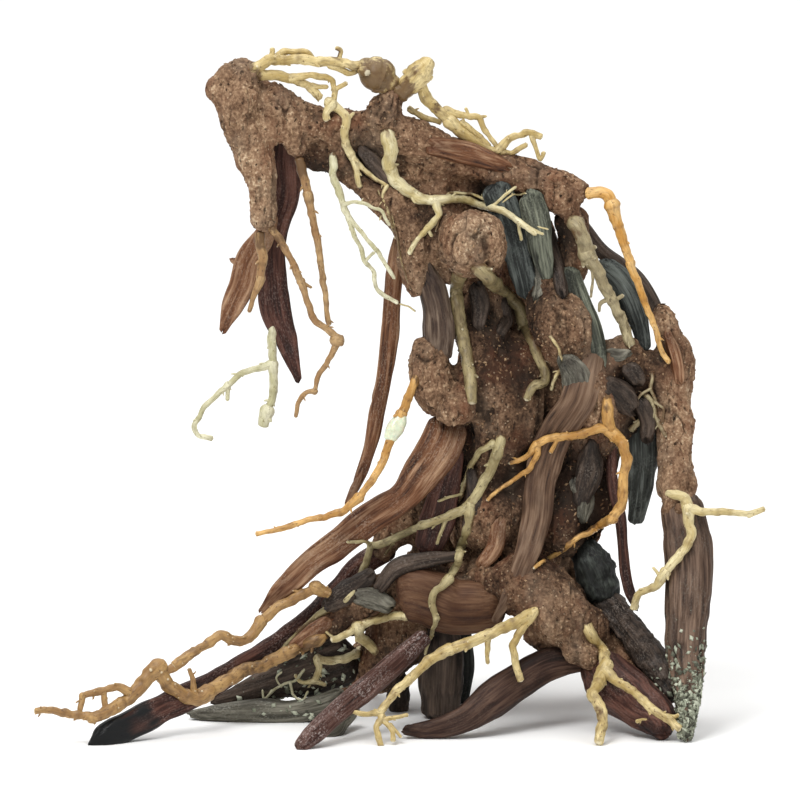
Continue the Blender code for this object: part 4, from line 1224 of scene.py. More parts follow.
@dataclass
class Mortar:
    """The trunk of wood dust and glue: limbs fused to one skin and covered in grains."""

    name: str
    limbs: list
    cell_mm: float = 0.60
    grain_mm: float = 1.5
    closing_mm: float = 1.4
    limb_sides: int = 20
    limb_step_mm: float = 2.5
    relax_rounds: int = 34
    slow_mm: float = 0.7
    middle_mm: float = 0.4
    dome_mm: float = 0.45
    pit_mm: float = 0.7
    gully_mm: float = 1.0
    beam_from_mm: float = 205.0
    head_to_mm: float = 45.0
    seed: int = 5
    shades: list = field(default_factory=list)

    def skin(self) -> Surface:
        """Limbs fused and relaxed, before the grains are laid on.

        The limbs are first made closing_mm wider, and the relaxed skin is moved back by that,
        which fills the creases between them.

        Returns:
            The skin.
        """
        tubes = []
        for limb in self.limbs:
            knots = np.array([[*place(point[0], point[1], point[2]), point[3] * UNIT + self.closing_mm * MM]
                              for point in limb])
            route = smooth_route(knots, self.limb_step_mm * MM)
            tubes.append(swept(route, self.limb_sides, 1.0, 2.0, (0.9, 0.9)))
        skin = fused(tubes[0].merged(tubes[1:]), self.cell_mm * MM).relaxed(self.relax_rounds, 0.6)
        for _ in range(2):
            skin.points = skin.points - skin.normals() * 0.5 * self.closing_mm * MM
            skin = skin.relaxed(4, 0.5)
        return skin

    def crumbled(self, surface: Surface) -> Surface:
        """The skin with lumps, grains and holes.

        The height is a slow and a middle noise, the flutes, a dome on each grain by its distance
        in cells, and pits and gullies where other noises fall low or cross zero.

        Args:
            surface: The relaxed skin.

        Returns:
            The same surface with "relief", "tone", "char" (painted shade, not charring) and "red".
        """
        spots = surface.points / MM
        slow = smooth_noise(spots, 9.0, self.seed)
        middle = drawn_noise(spots, 0.55, 3.2, self.seed + 1)
        flute = self.flutes(spots, surface.normals()[:, 1])
        nearest, number = grains(spots, self.grain_mm, self.seed + 2)
        dome = np.clip(0.75 - nearest, 0.0, 0.75) / 0.75
        pit = np.clip(-drawn_noise(spots, 0.6, 2.0, self.seed + 6) - 0.45, 0.0, 0.4) / 0.4
        gully = bell(drawn_noise(spots, 0.3, 6.0, self.seed + 8) / 0.06) * unit(slow * 2.0 + 0.3)
        size = 0.35 + 0.65 * number
        height = (self.slow_mm * slow + self.middle_mm * middle + flute + self.dome_mm * dome * size
                  - self.pit_mm * pit - self.gully_mm * gully)
        surface.points = surface.points + surface.normals() * height[:, None] * MM
        surface.values["relief"] = unit(0.40 + 0.28 * dome * size + 0.2 * middle + 0.18 * flute
                                        + 0.1 * slow - 0.25 * pit - 0.45 * gully)
        return self.shaded(surface, spots, number)

    def flutes(self, spots: np.ndarray, backward: np.ndarray) -> np.ndarray:
        """Height of the flutes in mm, deeper at the back.

        Args:
            spots: Places on the skin in mm.
            backward: How much the skin faces the back at each, from -1 to 1.

        Returns:
            Ridges and furrows that run upwards, and along the beam sideways.
        """
        level = unit((spots[:, 2] - self.beam_from_mm) / 15.0) * unit((spots[:, 0] + self.head_to_mm) / 15.0)
        upward, sideways = np.array([1.0, 1.0, 0.13]), np.array([0.13, 1.0, 1.0])
        flow = []
        for cell, seed in ((8.5, 11), (3.6, 12)):
            lanes = [smooth_noise(spots * way, cell, self.seed + seed) for way in (upward, sideways)]
            flow.append((1.0 - level) * lanes[0] + level * lanes[1])
        return (1.0 + 0.9 * unit(backward)) * (1.3 * flow[0] + 0.9 * (0.5 - np.abs(flow[1]) * 1.6))

    def shaded(self, surface: Surface, spots: np.ndarray, tone: np.ndarray) -> Surface:
        """The skin with its lighter, redder and dented places, and painted shade in its darker ones.

        Args:
            surface: The crumbled skin.
            spots: Places of its points before it was crumbled, in mm.
            tone: Tone of the grain at each point.

        Returns:
            The same surface with "tone", "char" (painted shade, not charring) and "red".
        """
        char = np.zeros(len(tone))
        red = np.zeros(len(tone))
        facing = unit(-surface.normals()[:, 1] * 1.5)
        for across, down, depth, reach_mm, lift, dark, ruddy, dent in self.shades:
            far = np.linalg.norm(spots - place(across, down, depth)[None, :] / MM, axis=1) / reach_mm
            weight = bell(far)
            surface.points[:, 1] += dent * MM * weight ** 2 * facing
            tone = tone + 3.0 * lift * weight
            # Painted shade: the darkness goes into the char value, which on the mortar holds shade in the
            # hollows, not charring
            char = np.maximum(char, dark * weight)
            red = np.maximum(red, ruddy * weight)
        surface.values.update({"tone": tone, "char": char, "red": red})
        return surface


@dataclass
class Chips:
    """Small flakes and crumbs that stick to the mortar."""

    name: str
    count: int
    seed: int = 9
    size_mm: tuple = (0.35, 1.0)
    length: tuple = (0.8, 1.7)
    width: tuple = (0.5, 0.9)
    thickness: tuple = (0.2, 0.5)
    tilt: float = 0.35
    sunk: float = 0.4

    def surface(self, base: Surface, box: tuple, region: tuple = None) -> Surface:
        """Flattened eight-faced chips at random vertices of the base.

        Args:
            base: Surface that the chips lie on.
            box: Lowest and highest corner they stay inside.
            region: (across, down, reach in mm) of the spots they lie on, or None for everywhere.

        Returns:
            One surface of closed chips with "tone".
        """
        rng = np.random.default_rng(self.seed)
        normals = base.normals()
        odds = np.ones(len(base.points))
        if region:
            seen = (base.points - place(region[0], region[1], 0.0))[:, [0, 2]] / MM
            odds = bell(np.linalg.norm(seen * np.array([1.0, 0.5]), axis=1) / region[2])
        chosen = rng.choice(len(base.points), self.count, replace=False, p=odds / odds.sum())
        spots = base.points[chosen]
        up = normals[chosen]
        first = np.cross(up, rng.normal(size=(self.count, 3)))
        first /= np.linalg.norm(first, axis=1, keepdims=True)
        up = up + rng.normal(0.0, self.tilt, (self.count, 1)) * first
        up /= np.linalg.norm(up, axis=1, keepdims=True)
        second = np.cross(up, first)
        size = rng.uniform(*self.size_mm, (self.count, 1)) ** 1.5 * MM
        long_way = first * size * rng.uniform(*self.length, (self.count, 1))
        cross_way = second * size * rng.uniform(*self.width, (self.count, 1))
        thick = up * size * rng.uniform(*self.thickness, (self.count, 1))
        centre = spots + self.sunk * thick
        corners = np.stack([centre + long_way, centre + cross_way, centre - long_way,
                            centre - cross_way, centre + thick, centre - thick], axis=1)
        sides = [(0, 1), (1, 2), (2, 3), (3, 0)]
        order = np.array([(a, b, 4) for a, b in sides] + [(b, a, 5) for a, b in sides])
        faces = (np.arange(self.count)[:, None, None] * 6 + order[None]).reshape(-1, 3)
        tone = np.repeat(rng.beta(1.1, 1.3, self.count), 6)
        made = Surface(corners.reshape(-1, 3), np.zeros((0, 4), int), faces, {"tone": tone})
        return kept_inside(made.outward(), box)


@dataclass
class GlueBead:
    """A drop of set glue around a root."""

    route: list
    step_mm: float = 0.4
    sides: int = 24
    flatness: float = 0.9
    squareness: float = 2.3
    dent_mm: float = 0.35
    dent_cell_mm: float = 3.0
    seed: int = 77

    def surface(self) -> Surface:
        """The drop with soft dents.

        Returns:
            A closed swept surface.
        """
        knots = np.array([[*place(*spot), half * UNIT] for *spot, half in self.route])
        route = smooth_route(knots, self.step_mm * MM)
        drop = swept(route, self.sides, self.flatness, self.squareness, (0.6, 0.6))
        dents = smooth_noise(drop.points / MM, self.dent_cell_mm, self.seed)[:, None]
        drop.points = drop.points + drop.normals() * (self.dent_mm * MM * dents)
        return drop


@dataclass
class Studio:
    """Pale floor, soft lights and the camera at the viewing angle of the routes."""

    distance: float = 8.0
    sensor_mm: float = 36.0
    frame_units: float = 800.0
    floor_half: float = 30.0
    lamps: tuple = (("ceiling", (0.0, 0.6, 3.6), 6.0, 158.0), ("key", (-0.5, -1.0, 1.5), 0.8, 19.0),
                    ("fill", (1.3, -1.2, 0.9), 1.0, 3.0))
    aim: tuple = (0.0, 0.0, 0.13)
    sky: tuple = (1.0, 1.0, 1.0, 1.0)
    sky_strength: float = 0.42

    def build(self) -> None:
        """Make the floor, the lights, the world and the camera."""
        half = self.floor_half
        mesh = bpy.data.meshes.new("floor")
        mesh.from_pydata([(-half, -half, 0.0), (half, -half, 0.0), (half, half, 0.0), (-half, half, 0.0)],
                         [], [(0, 1, 2, 3)])
        floor = bpy.data.objects.new("floor", mesh)
        floor.data.materials.append(PaperFinish().material())
        bpy.context.scene.collection.objects.link(floor)
        floor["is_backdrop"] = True
        for lamp in self.lamps:
            self.light(*lamp)
        world = bpy.data.worlds.new("studio")
        world.use_nodes = True
        background = world.node_tree.nodes["Background"]
        background.inputs["Color"].default_value = self.sky
        background.inputs["Strength"].default_value = self.sky_strength
        bpy.context.scene.world = world
        bpy.context.scene.view_settings.view_transform = "Standard"
        self.camera()

    def light(self, name: str, spot: tuple, size: float, power: float) -> None:
        """Square soft light at the spot that looks at the middle of the piece.

        Args:
            name: Name of the light.
            spot: Its place in metres.
            size: Its side in metres.
            power: Its power in watts.
        """
        data = bpy.data.lights.new(name, "AREA")
        data.shape = "SQUARE"
        data.size = size
        data.energy = power
        lamp = bpy.data.objects.new(name, data)
        lamp.location = spot
        lamp.rotation_euler = (Vector(self.aim) - Vector(spot)).to_track_quat("-Z", "Y").to_euler()
        bpy.context.scene.collection.objects.link(lamp)

    def camera(self) -> None:
        """Long-lens camera whose frame is frame_units view units wide at the middle plane."""
        data = bpy.data.cameras.new("camera")
        data.sensor_width = self.sensor_mm
        data.lens = self.sensor_mm * self.distance / (self.frame_units * UNIT)
        data.clip_end = 200.0
        eye = bpy.data.objects.new("camera", data)
        middle = Vector(place(0.5 * self.frame_units, 0.5 * self.frame_units, 0.0))
        back = Vector((0.0, -COS_LIFT, SIN_LIFT))
        eye.location = middle + self.distance * back
        eye.rotation_euler = (-back).to_track_quat("-Z", "Y").to_euler()
        bpy.context.scene.collection.objects.link(eye)
        bpy.context.scene.camera = eye


# Mortar trunk: limbs of (across, down, depth, half width)
TRUNK_LIMBS = [
    # head
    [(216, 68, -5, 9), (226, 74, -5, 15), (240, 78, -5, 20), (262, 87, -4, 23)],
    [(213, 100, -6, 8), (223, 101, -6, 18), (237, 102, -6, 27), (262, 104, -4, 25)],
    [(221, 74, -5, 12), (219, 88, -6, 12), (222, 106, -6, 14)],
    [(236, 95, 3, 20), (262, 100, 4, 20), (300, 118, 4, 16)],
    # head leg and stub
    [(236, 98, -6, 25), (241, 122, -7, 20), (251, 145, -8, 18), (260, 170, -9, 17),
     (264, 198, -10, 15), (263, 226, -10, 14), (261, 238, -10, 8)],
    [(290, 118, -4, 15), (296, 147, -6, 11), (300, 163, -7, 5)],
    # beam, left and right of the lump
    [(258, 98, -4, 24), (290, 115, -2, 18), (330, 125, 0, 19), (368, 126, 0, 21)],
    [(298, 136, 6, 14), (318, 148, 6, 22), (345, 160, 4, 18)],
    [(366, 128, -3, 22), (385, 110, -3, 18), (396, 98, -3, 14), (407, 90, -2, 9)],
    [(368, 128, 2, 23), (395, 140, 2, 25), (420, 150, 2, 26), (443, 157, 2, 22),
     (472, 162, 3, 18), (514, 173, 3, 19), (542, 181, 2, 17), (566, 194, 0, 24),
     (584, 192, -1, 15)],
    [(380, 140, 12, 18), (440, 160, 16, 18), (510, 178, 16, 16), (566, 198, 10, 20)],
    # strand from the beam down to the knee
    [(334, 126, 0, 18), (341, 160, 0, 14), (366, 186, 0, 15), (390, 204, -1, 19),
     (411, 225, -2, 18), (415, 255, -3, 17), (416, 280, -4, 13), (412, 300, -4, 5)],
    [(431, 332, -5, 12), (428, 352, -6, 19), (433, 380, -8, 23), (453, 416, -6, 24)],
    [(350, 130, 4, 18), (380, 160, 4, 20), (412, 190, 4, 20), (440, 214, 2, 16)],
    # bulb and what carries it
    [(472, 208, -11, 10), (472, 216, -12, 24), (472, 232, -13, 33), (472, 250, -13, 35),
     (472, 266, -12, 29), (470, 278, -10, 16)],
    [(438, 168, 4, 18), (436, 205, 2, 18), (452, 238, -4, 20)],
    [(440, 250, -4, 12), (446, 270, -2, 11), (450, 288, 0, 8)],
    [(462, 292, 2, 13), (464, 320, 2, 14), (468, 350, 2, 12)],
    [(440, 196, 10, 22), (480, 198, 12, 22), (512, 205, 14, 18)],
    # core, front left, front right and back
    [(474, 262, 8, 23), (478, 310, 8, 25), (484, 350, 2, 27), (486, 380, -2, 29),
     (496, 420, -4, 30), (492, 460, 4, 34), (492, 510, 0, 38), (498, 556, -6, 36)],
    [(506, 190, 14, 16), (530, 230, 16, 22), (548, 282, 8, 24), (558, 318, -2, 30),
     (572, 360, 0, 30), (592, 404, -2, 34), (590, 450, 4, 30), (572, 500, 4, 34),
     (556, 556, -2, 38)],
    [(586, 464, 6, 26), (594, 500, 4, 22), (588, 532, 2, 20)],
    [(516, 220, 22, 20), (522, 250, 23, 26), (526, 310, 25, 33), (534, 380, 27, 40),
     (536, 450, 28, 45), (530, 520, 29, 49), (520, 575, 28, 42), (518, 600, 26, 24)],
    [(560, 420, 30, 26), (575, 480, 34, 30), (570, 540, 36, 30), (556, 590, 32, 24)],
    [(490, 380, 28, 24), (476, 450, 34, 28), (474, 520, 38, 30), (466, 580, 34, 26)],
    [(500, 330, 10, 20), (520, 400, 0, 34), (520, 450, 6, 34), (524, 520, -2, 36)],
    [(446, 440, 8, 18), (430, 500, 8, 24), (420, 550, 6, 24)],
    [(424, 494, 4, 18), (402, 524, 4, 18), (384, 548, 4, 14), (392, 562, 4, 12)],
    # shoulder under the right lump
    [(566, 205, 0, 20), (572, 236, 3, 14), (574, 262, 5, 13), (562, 290, 6, 14)],
    # right trunk and its tie to the core
    [(654, 299, 5, 7), (661, 312, 4, 11), (673, 345, 2, 14), (680, 370, 0, 14),
     (671, 400, -2, 17), (674, 430, -4, 18), (674, 470, -8, 18), (679, 506, -12, 21)],
    [(594, 362, 4, 27), (626, 361, 2, 22), (652, 366, 2, 15), (672, 366, 0, 10)],
    [(596, 392, 4, 28), (626, 386, 2, 24), (650, 384, 2, 18), (676, 384, 0, 12)],
    [(600, 420, 6, 26), (632, 416, 4, 20), (668, 410, 0, 12)],
    # base fan and left mass
    [(500, 560, -8, 28), (540, 590, -14, 30), (562, 618, -18, 32), (570, 646, -18, 24)],
    [(536, 606, -12, 26), (550, 634, -14, 22), (578, 656, -14, 15)],
    [(540, 618, -12, 21), (534, 642, -16, 14)],
    [(560, 600, 6, 34), (592, 630, -2, 28), (610, 654, -8, 22), (636, 684, -20, 16)],
    [(506, 575, 4, 32), (450, 588, 2, 28), (398, 594, -4, 22), (352, 602, -8, 21),
     (330, 606, -8, 15)],
    [(372, 606, -6, 22), (338, 622, -9, 18), (312, 634, -12, 12), (294, 644, -14, 7)],
    [(450, 540, 8, 26), (420, 590, 10, 30), (400, 630, 6, 32), (384, 664, 2, 26),
     (370, 696, -6, 14)],
    [(430, 610, 6, 30), (418, 646, 4, 20), (412, 668, 4, 10)],
    # back feet
    [(440, 590, 18, 30), (396, 640, 30, 26), (362, 670, 44, 19), (348, 688, 58, 15),
     (342, 696, 66, 12)],
    [(548, 580, 24, 38), (594, 630, 36, 28), (626, 668, 50, 18), (638, 688, 62, 14),
     (644, 696, 70, 11)],
]

# Wood pieces: name, finish, thickness over width, limbs of (across, down, depth, half width)
WOOD_PIECES = [
    ("leg_right_ribbed", "wood_grey_brown", 0.85, [
        [(683, 512, -13, 20), (686, 532, -16, 23), (688, 560, -20, 24), (687, 602, -28, 22),
         (685, 648, -36, 19), (687, 690, -45, 13), (686, 718, -51, 8), (684, 738, -54, 5)]]),
    ("slat_long_left", "wood_red_brown", 0.5, [
        [(448, 420, -12, 17), (442, 442, -14, 21), (423, 472, -15, 19), (403, 497, -16, 15),
         (372, 518, -17, 15), (335, 546, -18, 14), (311, 562, -18, 13), (293, 579, -18, 12),
         (278, 593, -18, 8), (261, 612, -18, 3)]]),
    ("stick_red_low", "wood_red_brown", 0.9, [
        [(426, 634, -21, 8), (402, 657, -29, 10), (367, 686, -43, 11), (338, 710, -55, 11),
         (314, 732, -65, 10), (299, 747, -70, 5)]]),
    ("slat_charred_tip", "wood_maroon", 0.6, [
        [(394, 546, 6, 10), (363, 565, 2, 12), (340, 590, 0, 12), (314, 616, -4, 12),
         (290, 636, -9, 12), (240, 668, -21, 11), (200, 691, -33, 13), (165, 707, -43, 14),
         (127, 726, -52, 14), (104, 736, -58, 12), (91, 745, -61, 5)]]),
    ("band_centre", "wood_grey_brown", 0.35, [
        [(590, 350, None, 20), (577, 400, None, 24), (552, 440, None, 21),
         (541, 480, None, 20), (537, 520, None, 18), (525, 560, None, 15),
         (506, 602, None, 9), (494, 621, None, 4)]]),
    ("log_base_olive", "wood_olive", 0.8, [
        [(398, 594, -12, 12), (408, 593, -14, 25), (430, 598, -15, 29), (452, 606, -15, 27),
         (475, 607, -15, 26), (504, 604, -13, 21)]]),
    ("slat_curved_bottom", "wood_maroon", 0.75, [
        [(403, 729, -46, 4), (430, 729, -46, 10), (465, 719, -45, 13), (488, 702, -40, 16),
         (517, 681, -31, 16), (550, 663, -23, 16), (588, 659, -16, 12)]]),
    ("log_right_lower", "wood_maroon", 0.9, [
        [(592, 656, -14, 15), (609, 678, -24, 23), (636, 701, -36, 22), (657, 719, -46, 17),
         (668, 733, -52, 11)]]),
    ("log_right_upper", "wood_dark", 0.9, [
        [(606, 602, -6, 14), (626, 626, -12, 15), (646, 651, -19, 17), (664, 677, -28, 16),
         (675, 698, -37, 10)]]),
    ("slat_head_left", "wood_red_brown", 0.45, [
        [(271, 216, 0, 7), (264, 235, 1, 10), (249, 262, 1, 13), (243, 285, 0, 13),
         (234, 305, -1, 11), (223, 331, -2, 3)],
        [(246, 270, 1, 8), (239, 263, 1, 5), (230, 259, 1, 2)]]),
    ("slat_head_right", "wood_maroon", 0.5, [
        [(286, 128, 5, 12), (285, 160, 6, 17), (286, 198, 6, 14), (278, 224, 5, 12),
         (273, 248, 5, 13), (273, 282, 3, 14), (276, 310, 2, 16), (286, 340, 1, 11),
         (299, 381, 0, 3)]]),
    ("stick_hanging_long", "wood_red_brown", 0.8, [
        [(401, 236, 8, 7), (396, 262, 6, 9), (393, 290, 5, 9), (391, 320, 4, 9),
         (388, 350, 3, 9), (384, 380, 2, 8), (378, 410, 1, 8), (371, 445, 0, 7),
         (360, 476, -1, 6), (347, 506, -2, 3)]]),
    ("branch_column", "wood_grey_brown", 0.9, [
        [(424, 268, -4, 10), (431, 288, -4, 13), (437, 310, -4, 14), (439, 334, -5, 16),
         (438, 352, -6, 14)]]),
    ("slab_low_left", "wood_dark", 0.45, [
        [(212, 703, -2, 4), (240, 694, -1, 11), (276, 682, 0, 19), (316, 668, 1, 26),
         (356, 654, 2, 28)]]),
    ("plank_grey", "wood_grey", 1.1, [
        [(188, 715, -5, 4), (215, 714, -7, 9), (255, 712, -8, 11), (290, 712, -9, 11),
         (318, 706, -9, 11), (345, 696, -8, 9)]]),
    ("block_grey", "wood_grey", 0.9, [
        [(317, 729, -40, 8), (328, 730, -40, 10), (341, 719, -32, 10), (354, 706, -24, 8)]]),
    ("foot_ribbed", "wood_dark", 0.55, [
        [(442, 632, -2, 18), (442, 655, -2, 21), (441, 690, -2, 20), (441, 722, -2, 19)]]),
    ("foot_black_back", "wood_charred", 0.9, [
        [(464, 628, 26, 8), (467, 668, 29, 8), (463, 709, 31, 6)]]),
    ("foot_round_dark", "wood_dark", 0.9, [
        [(398, 672, 10, 10), (398, 692, 12, 11), (398, 706, 14, 10), (398, 715, 15, 7)]]),
    ("stick_red_right", "wood_maroon", 0.9, [
        [(612, 436, -2, 5), (613, 485, -6, 6), (621, 520, -8, 6), (623, 548, -10, 5),
         (626, 576, -12, 5), (632, 598, -14, 4), (638, 609, -15, 2)]]),
    ("slab_dark_upper", "wood_dark", 0.9, [
        [(574, 216, 10, 7), (588, 236, 11, 8), (602, 252, 11, 8), (618, 265, 11, 9),
         (636, 280, 10, 9), (650, 302, 9, 9), (660, 320, 7, 7)]]),
    ("slat_grey_face", "wood_blue_grey", 0.35, [
        [(599, 264, 4, 10), (617, 278, 4, 13), (630, 298, 4, 12), (638, 320, 4, 10),
         (645, 352, 3, 7)]]),
    ("slat_grey_a", "wood_blue_grey", 0.4, [
        [(494, 184, -3, 12), (506, 216, -3, 16), (517, 252, -2, 15), (528, 298, 0, 9)]]),
    ("slat_grey_b", "wood_grey_green", 0.4, [
        [(528, 192, -7, 12), (537, 222, -6, 14), (541, 250, -5, 11), (547, 280, -3, 6)]]),
    ("slat_grey_back", "wood_grey_green", 0.5, [
        [(567, 270, 0, 11), (578, 300, -3, 12), (590, 336, -5, 13), (596, 376, -6, 9)]]),
    ("slat_blue_black", "wood_blue_grey", 0.5, [
        [(642, 420, 4, 13), (643, 445, 4, 17), (643, 470, 4, 15), (640, 495, 3, 11),
         (636, 523, 2, 6)]]),
    ("lump_charred", "wood_charred", 0.9, [
        [(582, 546, 2, 12), (590, 560, -4, 18), (600, 584, -6, 19), (606, 604, -8, 14)],
        [(600, 560, -2, 16), (604, 576, -6, 17)]]),
    ("slat_arched", "wood_dark", 0.6, [
        [(378, 590, -16, 6), (396, 569, -18, 8), (428, 560, -18, 8), (462, 556, -16, 7)]]),
    ("rib_dark", "wood_maroon", 0.5, [
        [(456, 446, -6, 9), (448, 478, -7, 13), (438, 516, -8, 17), (426, 554, -10, 14)]]),
]

